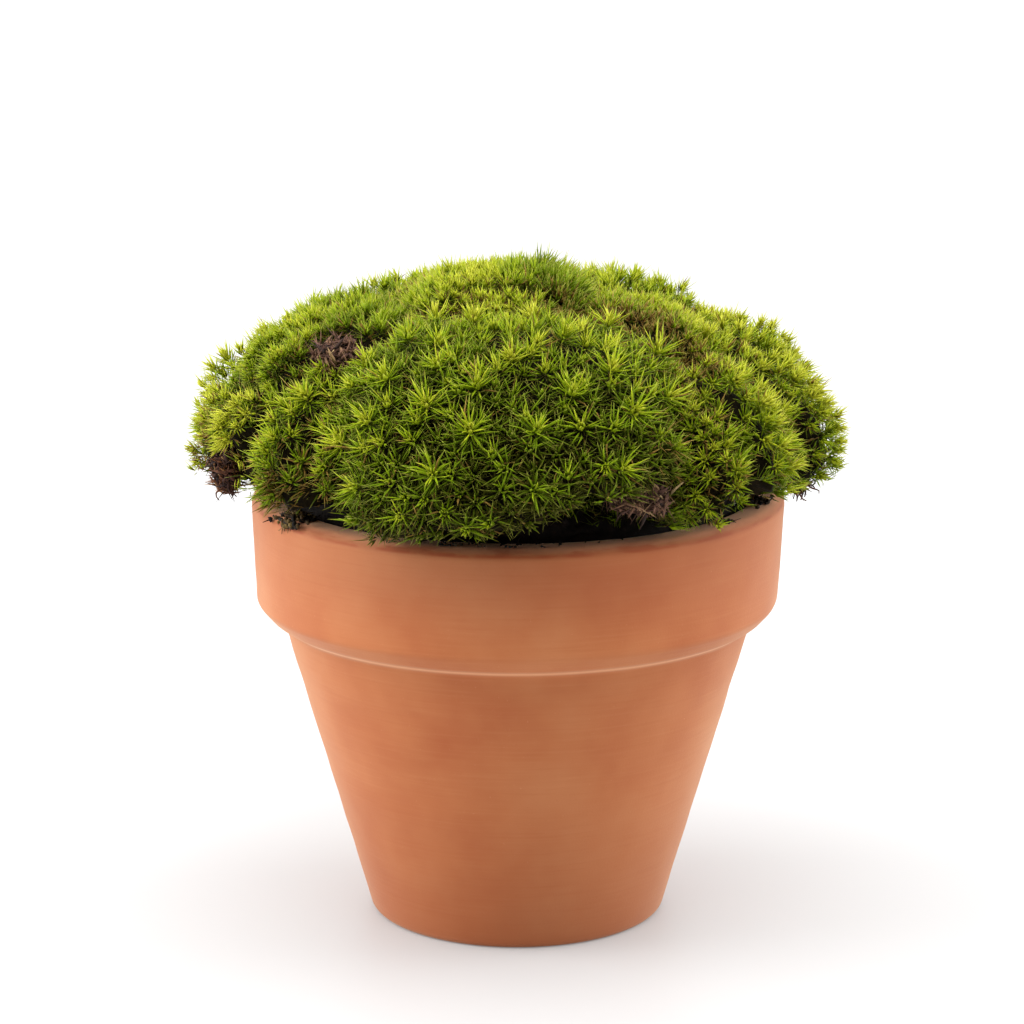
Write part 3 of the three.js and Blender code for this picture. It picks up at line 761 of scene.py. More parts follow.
PATCHES = [
    GrownPatch((8, 1, 119), 10, 0.3, 1.8, -0.16),
    GrownPatch((-28, 5, 113), 7, 0.3, 0.9, -0.12),
    GrownPatch((20, -8, 114), 9, -0.4, -0.3, -0.2, 0.0, 0.4),
    GrownPatch((-20, 8, 115), 6, -0.8, -0.4, -0.12, 0.0, 0.3),
    GrownPatch((-33, -18, 110), 8, -0.6, -0.4, -0.08, 0.0, 0.15),
    GrownPatch((0, -32, 114), 13, 0.2, -1.0, 0.18, -0.75),
    GrownPatch((2, -50, 92), 14, -0.2, 0.2, -0.13, 0.1),
    GrownPatch((-53, 0, 99), 8, 1.6),
    GrownPatch((-47, 2, 108), 8, -3.6),
    GrownPatch((-56, 4, 87), 6, 1.6),
    GrownPatch((44, 2, 109), 9, -1.2),
    GrownPatch((-52, -18, 90), 5.5, -3.6, 0.0, -0.15, 0.0, 0.35),
    GrownPatch((-47, -27, 88), 8, -3.8),
    GrownPatch((-42, -33, 86), 7, 0.0, 0.0, -0.12, 0.0, 0.4),
    GrownPatch((23, -15, 112), 8, 0.0, -0.6, -0.22, 0.0, 0.5),
    GrownPatch((12, -12, 115), 7, 0.0, -0.5, -0.18, 0.0, 0.45),
    GrownPatch((32, -19, 107), 6.5, 0.0, -0.5, -0.18, 0.0, 0.5),
    GrownPatch((28, -28, 107), 5, 0.4, 0.0, 0.08, 0.0, 0.2),
    GrownPatch((20, -42, 95), 7, 0.0, 0.0, -0.08, 0.0, 0.3),
]


@dataclass(frozen=True)
class Fold:
    """A furrow in the cushion, or a ridge where its depth is below 0.

    Attributes:
        start: one end.
        end: the other end.
        half_width: how far it reaches to each side.
        depth: how deep it is.
        dry: how much of its leaves is dried besides.
    """

    start: tuple[float, float, float]
    end: tuple[float, float, float]
    half_width: float
    depth: float
    dry: float = 0.0

    def share(self, points: np.ndarray) -> np.ndarray:
        """Give how strongly the fold tells at each point.

        Args:
            points: places in millimetres.

        Returns:
            From 0 far away to 1 on the fold's line.
        """
        start, run = np.array(self.start), np.subtract(self.end, self.start)
        place = np.clip((points - start) @ run / (run @ run), 0, 1)
        away = np.linalg.norm(points - start - place[:, None] * run, axis=1)
        return np.exp(-((away / self.half_width) ** 2))


FOLDS = [
    Fold((10, -14, 114), (29, -19.5, 108.5), 4.4, 5.0, 0.6),
    Fold((10, -24, 113.5), (30, -28, 106.5), 2.8, -1.6),
    Fold((-30, -21, 112), (6, -23, 114.5), 3.0, -1.0),
    Fold((-16, -13, 115.2), (-10, -13, 115.8), 2.4, 2.0, 0.5),
    Fold((-8, -8.5, 118), (12, -8.5, 118), 2.6, 2.4, 0.25),
    Fold((-52, -9, 95), (-49.5, -18, 85), 3.2, 2.0, 0.5),
    Fold((-36, -34, 98), (-33.5, -39, 87), 3.0, 1.6, 0.4),
    Fold((-26, -40, 100), (-24, -46, 88), 2.4, 1.4, 0.1),
    Fold((31, -33, 102), (34.5, -40, 88), 2.6, 2.2, 0.3),
]

# Where the hem hangs over the rim or lifts off it: degrees round the pot, half width, and drop in mm.
HEM_WAVES = np.array(
    [
        (-74, 11, -10),
        (-133, 4.5, -9),
        (-41, 4.5, -8),
        (-117, 9, 7),
        (-54, 7, 6),
        (-142, 6, 4),
        (20, 9, 4),
        (75, 10, 5),
        (128, 8, -6),
        (165, 9, 4),
    ],
    float,
)
# Where the leaves' tips end higher beyond the rim, in the same way: at the front right and at the clump of
# crumbs, and at the right end of the overhang.
HEM_LIFTS = np.array([(-20, 15, 3.5), (-146, 5, 2.2), (-4, 9, 1.4)], float)


@dataclass(frozen=True)
class Tuft:
    """A clump of dry strands: its node, its middle, its half sizes and the way that the strands point."""

    name: str
    at: tuple[float, float, float]
    half: tuple[float, float, float]
    toward: tuple[float, float, float]


DRIED_TUFTS = [
    Tuft("dried_shoots_left", (-31.8, -21, 110), (5.2, 4.2, 3.2), (-0.45, -0.35, 0.8)),
    Tuft("dried_shoots_front", (21.2, -46, 90), (5.8, 3.2, 3.0), (0.1, -1, 0.2)),
]
ROOTLET_TUFTS = [
    Tuft("rootlets_left", (-52.8, -18.4, 90), (3.0, 3.8, 5.4), (-0.3, -0.4, -1.0)),
    Tuft("rootlets_right", (52.8, 4, 82.8), (2.4, 2.8, 3.0), (0.25, -0.15, -1.0)),
]


def bed_height(r: np.ndarray) -> np.ndarray:
    """Give the height of the heap of soil at a distance from the axis."""
    share = np.minimum(1, r / LIP_INNER_R)
    return SOIL_EDGE_Z + (SOIL_TOP_Z - SOIL_EDGE_Z) * np.sqrt(1 - share**2)


def waves_at(azimuth: np.ndarray, waves: np.ndarray) -> np.ndarray:
    """Read waves of the hem at angles round the pot.

    Args:
        azimuth: the angles in radians.
        waves: the middle and the half width in degrees, and the height, of each wave.

    Returns:
        A row for each angle, with each wave's share of the height there.
    """
    away = (np.degrees(azimuth)[:, None] - waves[:, 0] + 180) % 360 - 180
    return waves[:, 2] * np.exp(-((away / waves[:, 1]) ** 2))


def within_belly(points: np.ndarray, widest: float, level: float, steep: float | np.ndarray) -> np.ndarray:
    """Tell which points lie within the cushion's side, which draws in toward the rim under its widest part.

    Args:
        points: places in millimetres.
        widest: the side's radius, down to the level.
        level: the height under which it draws in.
        steep: how many millimetres it draws in for each millimetre down.

    Returns:
        True for each point within.
    """
    return off_axis(points) < widest - steep * np.maximum(level - points[:, 2], 0)


@dataclass
class Ground(Rows):
    """The cushion's surface in some directions from its heart.

    Attributes:
        point: the places on the creased surface.
        dome: the places on the smooth dome under it.
        normal: the ways that the dome faces.
        mound: the numbers of the mounds.
        reach: how far the places are from the heart.
    """

    point: np.ndarray
    dome: np.ndarray
    normal: np.ndarray
    mound: np.ndarray
    reach: np.ndarray


class CushionForm:
    """The rule that gives the cushion its mounds, creases and hem."""

    def __init__(self) -> None:
        """Work out the planes between the mounds."""
        self.at = np.array([mound.at for mound in MOUNDS], float)
        self.size = np.array([mound.size for mound in MOUNDS], float)
        self.swell = np.array([mound.swell for mound in MOUNDS], float)
        apart = self.at[None] - self.at[:, None]
        span = np.linalg.norm(apart, axis=-1)
        square = (self.at**2).sum(-1)
        offset = square[None] - self.size[None] ** 2 - square[:, None] + self.size[:, None] ** 2
        np.fill_diagonal(span, 1)
        self.normals = apart / span[..., None]
        self.offsets = offset / (2 * span)
        np.fill_diagonal(self.offsets, 1e6)

    def facing(self, ways: np.ndarray, turn: float = 0.045) -> np.ndarray:
        """Find the way that the creased surface faces, from points a small turn apart.

        Args:
            ways: unit vectors from the heart.
            turn: how far apart the points are, in radians.

        Returns:
            Unit vectors.
        """
        level = unit(np.cross(ways, np.array([0.3, 0.2, 1.0])))
        upright = np.cross(level, ways)
        across = self.hearts(unit(ways + turn * level)) - self.hearts(unit(ways - turn * level))
        along = self.hearts(unit(ways + turn * upright)) - self.hearts(unit(ways - turn * upright))
        normal = unit(np.cross(across, along))
        return normal * np.sign(dots(normal, ways))

    def relief(self, ground: Ground) -> np.ndarray:
        """Give how far the shoots' hearts stand above the ground: by mound, patch, rib and fold.

        Args:
            ground: the surface.

        Returns:
            A height for each of its points.
        """
        growth = np.array([(mound.rise, mound.spread) for mound in MOUNDS])[ground.mound]
        height = growth[:, 0] + RIB_HEIGHT * self.ribs(ground.point) * (1 - 0.6 * growth[:, 1])
        for patch in PATCHES:
            height += patch.rise * patch.share(ground.point)
        for fold in FOLDS:
            height -= fold.depth * fold.share(ground.point)
        return height

    def hearts(self, ways: np.ndarray) -> np.ndarray:
        """Give the places of shoots' hearts in some directions."""
        ground = self.ground(ways)
        return ground.point + ground.normal * self.relief(ground)[:, None]

    def depth_inside(self, mound: np.ndarray, points: np.ndarray) -> np.ndarray:
        """Give how far points lie inside the spaces of their mounds.

        Args:
            mound: each point's mound number.
            points: places in millimetres.

        Returns:
            A depth for each point, below 0 outside.
        """
        reach = np.einsum("nmk,nk->nm", self.normals[mound], points)
        return (self.offsets[mound] - reach).min(1)

    def mound_at(self, points: np.ndarray) -> np.ndarray:
        """Give the number of the mound that holds each point."""
        away = ((points[:, None] - self.at[None]) ** 2).sum(-1) - self.size**2
        return away.argmin(1)

    @staticmethod
    def hem_drop(azimuth: np.ndarray) -> np.ndarray:
        """Give how far the hem hangs below the heart, by the angle round the pot."""
        return HEM_DROP + waves_at(azimuth, HEM_WAVES).sum(1)

    def ground(self, ways: np.ndarray) -> Ground:
        """Find the surface in directions from the heart.

        Args:
            ways: unit vectors.

        Returns:
            The surface there.
        """
        upright = np.where(ways[:, 2] >= 0, RISE, self.hem_drop(angle_round(ways)))
        reach = 1 / np.hypot(off_axis(ways) / SPREAD, ways[:, 2] / upright)
        dome = HEART + ways * reach[:, None]
        mound = self.mound_at(dome)
        depth = np.maximum(self.depth_inside(mound, dome), 0)
        crease = np.exp(-((depth / CREASE_WIDTH) ** CREASE_BLUNTNESS))
        swell = self.swell[mound]
        raised = reach + swell - (swell + CREASE_DEPTH) * crease
        squash = np.stack([np.full_like(upright, SPREAD**-2)] * 2 + [upright**-2.0], 1)
        normal = unit((dome - HEART) * squash)
        return Ground(HEART + ways * raised[:, None], dome, normal, mound, raised)

    @staticmethod
    def ribs(points: np.ndarray) -> np.ndarray:
        """Give the upright ribs that the shoots form on both flanks.

        Args:
            points: places in millimetres.

        Returns:
            1 on a rib, -1 between ribs and 0 where there are none.
        """
        turn = np.abs(np.degrees(angle_round(points)))
        first = np.where(turn < 90, RIB_FIRST_DEG, 180 - RIB_FIRST_DEG)
        wave = np.cos(FULL_TURN * (turn - first) / RIB_TURN_DEG + 0.6 * Ripple(40, 8).at(points))
        flank = np.clip((np.abs(np.cos(np.radians(turn))) - 0.5) / 0.12, 0, 1)
        return wave * flank * np.clip((RIB_TOP_Z - points[:, 2]) / RIB_FADE, 0, 1)

    @staticmethod
    def hem_floor(azimuth: np.ndarray) -> np.ndarray:
        """Give the least height of a leaf's tip outside the lip.

        Args:
            azimuth: angles round the pot in radians.

        Returns:
            A height for each angle.
        """
        wave = waves_at(azimuth, HEM_WAVES)
        side = np.clip((np.abs(np.cos(azimuth)) - 0.8) / 0.15, 0, 1)
        lift = 2.8 - 0.36 * np.maximum(wave, 0).sum(1) - 0.7 * np.minimum(wave, 0).sum(1)
        # At the left end of the overhang, beyond the rim, the hem ends higher.
        left_from = np.where(azimuth < 0, 150, 172)
        far_left = 4.2 * np.clip((np.abs(np.degrees(azimuth)) - left_from) / 5, 0, 1)
        return POT_HEIGHT + lift * (1 - side) + waves_at(azimuth, HEM_LIFTS).sum(1) + far_left

    @staticmethod
    def clear_of_pot(points: np.ndarray, gap: float) -> np.ndarray:
        """Push points off the pot's rim and the heap of soil.

        Args:
            points: places in millimetres, changed where they lie inside.
            gap: how far off they come to lie.

        Returns:
            The places.
        """
        r = off_axis(points)
        over_lip = (r > LIP_INNER_R) & (r < RIM_R + gap) & (points[:, 2] < POT_HEIGHT + gap)
        sideways = over_lip & (r > RIM_R - 1.6) & (points[:, 2] < POT_HEIGHT - 0.6)
        pushed = np.where(sideways, (RIM_R + gap) / np.maximum(r, 1), 1)
        points[:, :2] *= pushed[:, None]
        points[:, 2] = np.where(over_lip & ~sideways, POT_HEIGHT + gap, points[:, 2])
        over_bed = (r <= LIP_INNER_R) & (points[:, 2] < bed_height(r) + gap)
        points[:, 2] = np.where(over_bed, bed_height(r) + gap, points[:, 2])
        return points


def scattered(spots: np.ndarray, spacing: np.ndarray, taken: np.ndarray, room: float = 1.0) -> np.ndarray:
    """Pick spots one by one that keep their distance from each other.

    Args:
        spots: candidate places, in order.
        spacing: the distance that each keeps from those picked before it.
        taken: places that are already taken.
        room: the share of its spacing that a spot keeps from the taken places.

    Returns:
        The numbers of the picked spots.
    """
    picked: list[int] = []
    kept = np.empty((len(spots), 3))
    for number, spot in enumerate(spots):
        apart = kept[: len(picked)] - spot
        if len(picked) and (apart**2).sum(1).min() < spacing[number] ** 2:
            continue
        if len(taken) and ((taken - spot) ** 2).sum(1).min() < (room * spacing[number]) ** 2:
            continue
        kept[len(picked)] = spot
        picked.append(number)
    return np.array(picked, int)


@dataclass
class Shoots(Rows):
    """Leafy shoots.

    Attributes:
        point: where each one's heart stands.
        axis: which way it points.
        mound: the number of its mound.
        leaf: its leaves' length.
        tone: its leaves' place on their chart.
        spread: how widely its leaves open.
        dry: the share of its leaves that is dried.
        star: whether it is one of the solids' rosettes.
    """

    point: np.ndarray
    axis: np.ndarray
    mound: np.ndarray
    leaf: np.ndarray
    tone: np.ndarray
    spread: np.ndarray
    dry: np.ndarray
    star: np.ndarray


class LeafForm(Enum):
    """How finely a leaf is cut: the place along it and the share of its width at each section."""

    FINE = ((0.16, 0.9), (0.58, 0.8))
    PLAIN = ((0.4, 1.0),)
    SCRAP = ((0.06, 0.7), (0.35, 1.0), (0.7, 0.8))


@dataclass
class Leaves(Rows):
    """Narrow leaves.

    Attributes:
        root: where each starts.
        way: its direction there.
        bend: how far it has turned aside at its tip, evenly along it.
        flick: how far its tip turns aside besides.
        upper: the way that its upper side faces.
        length: how long it is.
        width: how wide it is.
        tone: its place on the leaves' chart.
    """

    root: np.ndarray
    way: np.ndarray
    bend: np.ndarray
    flick: np.ndarray
    upper: np.ndarray
    length: np.ndarray
    width: np.ndarray
    tone: np.ndarray

    KEEL: ClassVar[float] = 0.42
    CHART_HALF_WIDTH: ClassVar[float] = 0.006
    CHART_FOOT: ClassVar[float] = 0.1

    def at(self, t: float) -> np.ndarray:
        """Give each leaf's middle at a share of its length."""
        return self.root + self.length[:, None] * (t * self.way + t * t * self.bend + t**3 * self.flick)

    def shell(self, cut: LeafForm, keep_off_pot: bool = True) -> Shell:
        """Make each leaf a closed, keeled, bent needle.

        Args:
            cut: how finely the leaves are cut.
            keep_off_pot: whether the leaves are pushed off the pot.

        Returns:
            One shell with all the leaves.
        """
        side = unit(np.cross(self.upper, self.way))
        count = len(self.root)
        rings, tones, alongs = [self.root], [self.tone], [np.full(count, self.CHART_FOOT)]
        for t, share in cut.value:
            middle = self.at(t)
            if keep_off_pot:
                middle = CushionForm.clear_of_pot(middle, 0.5)
            tangent = unit(self.way + 2 * t * self.bend + 3 * t * t * self.flick)
            ridge = np.cross(tangent, side)
            half = (self.width * share / 2)[:, None]
            rings += [middle - side * half, middle + side * half, middle + ridge * half * 2 * self.KEEL]
            tones += [self.tone - self.CHART_HALF_WIDTH, self.tone + self.CHART_HALF_WIDTH, self.tone]
            place = self.CHART_FOOT + (1 - self.CHART_FOOT) * t
            alongs += [np.full(count, place)] * 2 + [np.full(count, place + 0.02)]
        tip = self.at(1.0)
        if keep_off_pot:
            tip = CushionForm.clear_of_pot(tip, 0.5)
        corners = np.stack(rings + [tip], 1)
        chart_u = np.clip(np.stack(tones + [self.tone], 1), 0.001, 0.999)
        chart = np.stack([chart_u, np.stack(alongs + [np.full(count, 0.999)], 1)], -1)
        per_leaf = corners.shape[1]
        faces = []
        for k in range(3):
            n = (k + 1) % 3
            faces += [(1 + n, 1 + k, 0), (per_leaf - 4 + k, per_leaf - 4 + n, per_leaf - 1)]
            for low in range(1, per_leaf - 4, 3):
                faces += [(low + k, low + n, low + 3 + n), (low + k, low + 3 + n, low + 3 + k)]
        starts = per_leaf * np.arange(count)
        all_faces = (starts[:, None, None] + np.array(faces)[None]).reshape(-1, 3)
        return Shell(corners.reshape(-1, 3), all_faces, chart.reshape(-1, 2))


@dataclass(frozen=True)
class ShootHabit:
    """How a shoot carries its leaves, from its heart (0) down its stem (1).

    The rows say how the leaves grow at each age. A scatter is how much leaves differ at random, and a pair
    of numbers the least and the most.
    """

    ages: tuple[float, ...] = (0.0, 0.1, 0.25, 0.5, 0.75, 1.0)
    open_lift_deg: tuple[float, ...] = (84.0, 66.0, 42.0, 22.0, 6.0, -12.0)
    brush_lift_deg: tuple[float, ...] = (88.0, 80.0, 70.0, 58.0, 46.0, 28.0)
    length: tuple[float, ...] = (0.42, 0.66, 0.95, 1.0, 0.94, 0.8)
    height: tuple[float, ...] = (0.9, 0.7, 0.3, -0.7, -1.9, -3.4)
    radius: tuple[float, ...] = (0.05, 0.2, 0.35, 0.45, 0.5, 0.5)
    open_tone: tuple[float, ...] = (0.3, 0.24, 0.1, -0.08, -0.24, -0.34)
    brush_tone: tuple[float, ...] = (0.12, 0.1, 0.06, 0.0, -0.12, -0.3)
    curl: tuple[float, ...] = (-0.02, 0.02, 0.05, 0.06, 0.06, 0.02)
    leaf_width: float = 0.4
    full_leaf: float = 6.0
    sag: float = 0.05
    age_scatter: float = 0.015
    turn_scatter: float = 0.2
    lift_scatter_deg: float = 8.0
    curl_scatter: float = 0.09
    sway_scatter: float = 0.1
    flick_scatter: float = 0.13
    tone_scatter: float = 0.05
    lengths: tuple[float, float] = (0.7, 1.24)
    widths: tuple[float, float] = (0.82, 1.2)
    dried_tones: tuple[float, float] = (0.02, 0.15)
    living_tones: tuple[float, float] = (0.19, 0.98)

    def along(self, name: str, age: np.ndarray) -> np.ndarray:
        """Read one of the habit's rows at some ages."""
        return np.interp(age, self.ages, getattr(self, name))


@dataclass(frozen=True)
class GrowthRule:
    """How the shoots differ over the cushion.

    A tone is how much fresher or older leaves look on their chart, a sink or rise how much lower or higher a
    shoot stands in millimetres, and a share tells of all shoots or of the leaves' length. The sky, crease,
    rib and furrow tones are painted light and shade: lighter toward the sky, on the ribs and on ridges,
    darker in creases, furrows and between the ribs. A small shoot is one between the rosettes, and a low one
    is a small one that they overtop.
    """

    low_share: float = 0.68
    cloud_tone: float = 0.05
    tone_scatter: float = 0.035
    # Painted light toward the sky, painted shade in the creases, painted light on the ribs and shade between
    # them.
    sky_tone: float = 0.12
    crease_tone: float = 0.12
    rib_tone: float = 0.16
    small_tone: float = 0.04
    fine_tone: float = 0.06
    low_tone: float = 0.2
    # Painted shade in the furrows, painted light on the ridges.
    furrow_tone: float = 0.06
    crease_reach: float = 2.2
    crease_leaf_share: float = 0.15
    furrow_leaf_share: float = 0.25
    small_leaf_share: float = 0.9
    leaf_shares: tuple[float, float] = (0.86, 1.14)
    rise_scatter: float = 0.3
    crease_sink: float = 1.0
    star_rise: float = 0.3
    small_sink: float = 0.5
    low_sink: float = 1.3
    fine_rise: float = 0.5
    dry_share: float = 0.03
    crease_dry_share: float = 0.06
    between_ribs_dry_share: float = 0.1
    star_lean: float = 0.12
    small_lean: float = 0.17
    combing: float = 0.28
    deepest_hollow: float = 3.0
    most_furrow: float = 0.72
    least_rib: float = -0.85


@dataclass
class Cushion:
    """The plant: fifteen mounds of leafy shoots on a dark, matted ground."""

    form: CushionForm = field(default_factory=CushionForm)
    habit: ShootHabit = field(default_factory=ShootHabit)
    rule: GrowthRule = field(default_factory=GrowthRule)
    star_seed: int = 11
    filler_seed: int = 5
    growth_seed: int = 17
    bud_seed: int = 23
    low_seed: int = 29
    star_darts: int = 16000
    star_spacing: float = 8.0
    filler_darts: int = 60000
    brush_leaves: int = 34
    open_leaves: int = 44
    star_extra_leaves: int = 22
    low_leaves: int = 46000
    bud_leaves: int = 4
    bud_height: float = 1.5
    bud_radius: float = 0.5
    mould_below: float = 2.6
    mould_gap: float = 0.2
    mould_levels: int = 3
    mould_start: float = 9.0
    mould_step: float = 1.5
    mould_reach: float = 62.0

    def tuft_distance(self, points: np.ndarray) -> np.ndarray:
        """Give how far points are from the nearest dry tuft.

        Args:
            points: places in millimetres.

        Returns:
            A distance for each point, below 0 inside a tuft.
        """
        tufts = DRIED_TUFTS + ROOTLET_TUFTS
        away = [np.linalg.norm(points - np.array(tuft.at), axis=1) - max(tuft.half) for tuft in tufts]
        return np.min(away, 0)

    def stars(self) -> Ground:
        """Place the rosettes of the solids: scattered evenly, clear of the creases, the pot and the tufts.

        Returns:
            The ground at each rosette.
        """
        draws = seeded_draws(self.star_seed, 2 * self.star_darts).reshape(-1, 2)
        ways = directions(draws, -0.35)
        ground = self.form.ground(ways)
        lowest = POT_HEIGHT + np.where(off_axis(ground.point) > RIM_R + 2, -1, 2.6)
        fits = (dots(ground.normal, ways)[:, 0] >= 0.5) & (ground.point[:, 2] >= lowest)
        fits &= self.form.depth_inside(ground.mound, ground.point) >= 2.8
        fits &= self.tuft_distance(ground.point) >= 2.3
        ground = ground.only(fits)
        spacing = np.full(len(ground.dome), self.star_spacing)
        return ground.only(scattered(ground.dome, spacing, np.empty((0, 3))))

    def fillers(self, stars: Ground) -> Ground:
        """Place smaller shoots between the rosettes, closer where the mound's own growth is finer.

        Args:
            stars: the ground at the rosettes.

        Returns:
            The ground at each smaller shoot.
        """
        draws = np.random.default_rng(self.filler_seed).random((self.filler_darts, 2))
        ground = self.form.ground(directions(draws, -0.42))
        lowest = POT_HEIGHT + np.where(off_axis(ground.point) > RIM_R + 1.2, -1.0, 1.2)
        fits = (ground.point[:, 2] > lowest) & (self.tuft_distance(ground.point) > 0.4)
        fits &= self.form.depth_inside(ground.mound, ground.dome) > 0.7
        ground = ground.only(fits)
        spacing = np.array([mound.spacing for mound in MOUNDS])[ground.mound]
        spacing *= 1 - 0.18 * self.form.ribs(ground.point)
        return ground.only(scattered(ground.dome, spacing, stars.dome, 0.9))

    def shoots(self) -> Shoots:
        """Give every shoot of the cushion its place, its direction and the way its leaves grow.

        Returns:
            The shoots, without those that a furrow leaves no room for.
        """
        stars = self.stars()
        fillers = self.fillers(stars)
        LOG.info("%d stars and %d smaller shoots", len(stars.point), len(fillers.point))
        rule, rng = self.rule, np.random.default_rng(self.growth_seed)
        star = np.concatenate([np.ones(len(stars.point), bool), np.zeros(len(fillers.point), bool)])
        ground = stars.followed_by(fillers)
        point, level, mound = ground.point, ground.normal, ground.mound
        count = len(point)
        normal = unit(0.4 * level + self.form.facing(unit(ground.dome - HEART)))
        tone, leaf, spread = np.array([(m.tone, m.leaf, m.spread) for m in MOUNDS])[mound].T
        creased = np.exp(-((self.form.depth_inside(mound, ground.dome) / rule.crease_reach) ** 2))
        rib = self.form.ribs(point) * (1 - 0.6 * spread)
        low = ~star & (rng.random(count) < rule.low_share)
        # Painted light and shade: lighter toward the sky and on the ribs, darker facing down, between the
        # ribs and in the creases. Besides, fresher in the rosettes and older on the low shoots.
        tone = tone + rule.cloud_tone * Ripple(22, 3).at(point) + rng.normal(0, rule.tone_scatter, count)
        tone += rule.sky_tone * (normal[:, 2] - 0.4) - rule.crease_tone * creased + rule.rib_tone * rib
        tone -= np.where(star, 0, rule.small_tone * spread)
        tone += rule.fine_tone * (1 - spread) * Ripple(8, 4).at(point)
        tone -= rule.low_tone * spread * low
        leaf = leaf * (1 - rule.crease_leaf_share * creased)
        # Where leaves open into stars, the rosettes stand above the smaller shoots.
        rise = self.form.relief(ground) - rule.crease_sink * creased
        rise += rng.normal(0, rule.rise_scatter, count)
        rise += np.where(star, rule.star_rise, -rule.small_sink - rule.low_sink * low) * spread
        rise += rule.fine_rise * (1 - spread) * Ripple(6.5, 6).at(point)
        dry = rule.dry_share + rule.crease_dry_share * creased
        dry += rule.between_ribs_dry_share * np.maximum(-rib, 0)
        for patch in PATCHES:
            share = patch.share(point)
            tone, leaf = tone + patch.tone * share, leaf + patch.leaf * share
            spread, dry = spread + patch.spread * share, dry + patch.dry * share
        sunk, hollow = np.zeros(count), np.zeros(count)
        for fold in FOLDS:
            share = fold.share(point)
            furrow = share * (fold.depth > 0)
            dry = dry + fold.dry * share
            # Painted shade in the furrows, painted light on the ridges.
            tone = tone - rule.furrow_tone * fold.depth * share
            leaf = leaf * (1 - rule.furrow_leaf_share * furrow)
            sunk, hollow = np.maximum(sunk, furrow), np.maximum(hollow, share * fold.depth)
        leaf *= np.where(star, 1.0, rule.small_leaf_share) * rng.uniform(*rule.leaf_shares, count)
        # The shoots of a brush lean together, as if combed.
        lean = rng.normal(0, 1, point.shape) * np.where(star, rule.star_lean, rule.small_lean)[:, None]
        upward = np.where(level[:, 2] < 0.2, 0.3, 0.2)[:, None] * np.array([0, 0, 1.0])
        combed = np.stack([Ripple(17, seed).at(point) for seed in (12, 13, 14)], 1)
        axis = unit(normal + lean + upward + rule.combing * (1 - spread[:, None]) * combed)
        point = point + level * rise[:, None]
        grown = Shoots(point, axis, mound, leaf, tone, np.clip(spread, 0, 1.2), dry, star)
        open_star = star & (spread > 0.5) & (hollow < rule.deepest_hollow)
        return grown.only(open_star | ((sunk < rule.most_furrow) & (rib > rule.least_rib)))

    def leaves(self, shoots: Shoots, per_shoot: int, seed: int) -> Leaves:
        """Grow the leaves of some shoots.

        Args:
            shoots: the shoots.
            per_shoot: how many leaves each has.
            seed: for the random part of their growth.

        Returns:
            All the leaves that stay above the hem and within reach.
        """
        rng = np.random.default_rng(seed)
        count = len(shoots.point)
        shape = (count, per_shoot)
        habit = self.habit
        age = np.clip(np.linspace(0, 1, per_shoot)[None] + rng.normal(0, habit.age_scatter, shape), 0, 1)
        across = unit(np.cross(shoots.axis, unit(rng.normal(size=(count, 3)))))
        up = np.cross(shoots.axis, across)
        azimuth = GOLDEN_ANGLE * np.arange(per_shoot)[None] + rng.normal(0, habit.turn_scatter, shape)
        around = np.cos(azimuth)[..., None] * across[:, None] + np.sin(azimuth)[..., None] * up[:, None]
        axis = np.broadcast_to(shoots.axis[:, None], around.shape)
        spread = shoots.spread[:, None]
        lift = spread * habit.along("open_lift_deg", age)
        lift += (1 - spread) * habit.along("brush_lift_deg", age)
        lift = np.radians(lift + rng.normal(0, habit.lift_scatter_deg, shape))[..., None]
        way = np.cos(lift) * around + np.sin(lift) * axis
        scale = shoots.leaf[:, None] / habit.full_leaf
        root = shoots.point[:, None] + around * (habit.along("radius", age) * scale)[..., None]
        root = root + axis * (habit.along("height", age) * scale)[..., None]
        length = shoots.leaf[:, None] * habit.along("length", age) * rng.uniform(*habit.lengths, shape)
        curl = habit.along("curl", age) + rng.normal(0, habit.curl_scatter, shape)
        sideways = np.cross(axis, around)
        bend = axis * curl[..., None] + sideways * rng.normal(0, habit.sway_scatter, shape)[..., None]
        bend = bend - np.array([0, 0, habit.sag])
        flick = axis * rng.normal(0, habit.flick_scatter, shape)[..., None]
        flick = flick + sideways * rng.normal(0, habit.sway_scatter, shape)[..., None]
        tone = spread * habit.along("open_tone", age) + (1 - spread) * habit.along("brush_tone", age)
        tone += shoots.tone[:, None] + rng.normal(0, habit.tone_scatter, shape)
        dried = rng.random(shape) < shoots.dry[:, None] * (0.3 + 1.7 * age)
        tone = np.where(dried, rng.uniform(*habit.dried_tones, shape), np.clip(tone, *habit.living_tones))
        width = habit.leaf_width * (0.55 + 0.5 * scale) * rng.uniform(*habit.widths, shape)
        flat = (count * per_shoot, 3)
        vectors = (part.reshape(flat) for part in (root, way, bend, flick, axis))
        return self.kept(Leaves(*vectors, length.ravel(), width.ravel(), tone.ravel()))

    def kept(self, leaves: Leaves) -> Leaves:
        """Keep the leaves that stay above the hem, out of the dry tufts and within reach.

        Args:
            leaves: the leaves as they would grow.

        Returns:
            Those that have room.
        """
        tip, root = leaves.at(1.0), leaves.root
        fits = (off_axis(tip) < LIP_INNER_R - 1) | (tip[:, 2] > self.form.hem_floor(angle_round(tip)))
        # The left side draws in less under its widest part.
        fits &= within_belly(tip, 63, 89, np.where(tip[:, 0] < 0, 0.7, 1.1))
        fits &= (off_axis(root) < LIP_INNER_R) | (root[:, 2] > self.form.hem_floor(angle_round(root)) + 0.5)
        for tuft in DRIED_TUFTS + ROOTLET_TUFTS:
            away = (leaves.at(0.7) - np.array(tuft.at)) / np.array(tuft.half)
            if tuft in ROOTLET_TUFTS:
                # The notch that the rootlets hang in is open toward the front.
                away[:, 1] *= np.where(away[:, 1] < 0, 0.3, 1.0)
            fits &= np.linalg.norm(away, axis=1) > 1.0
        return leaves.only(fits & (np.abs(tip) < REACH).all(1))

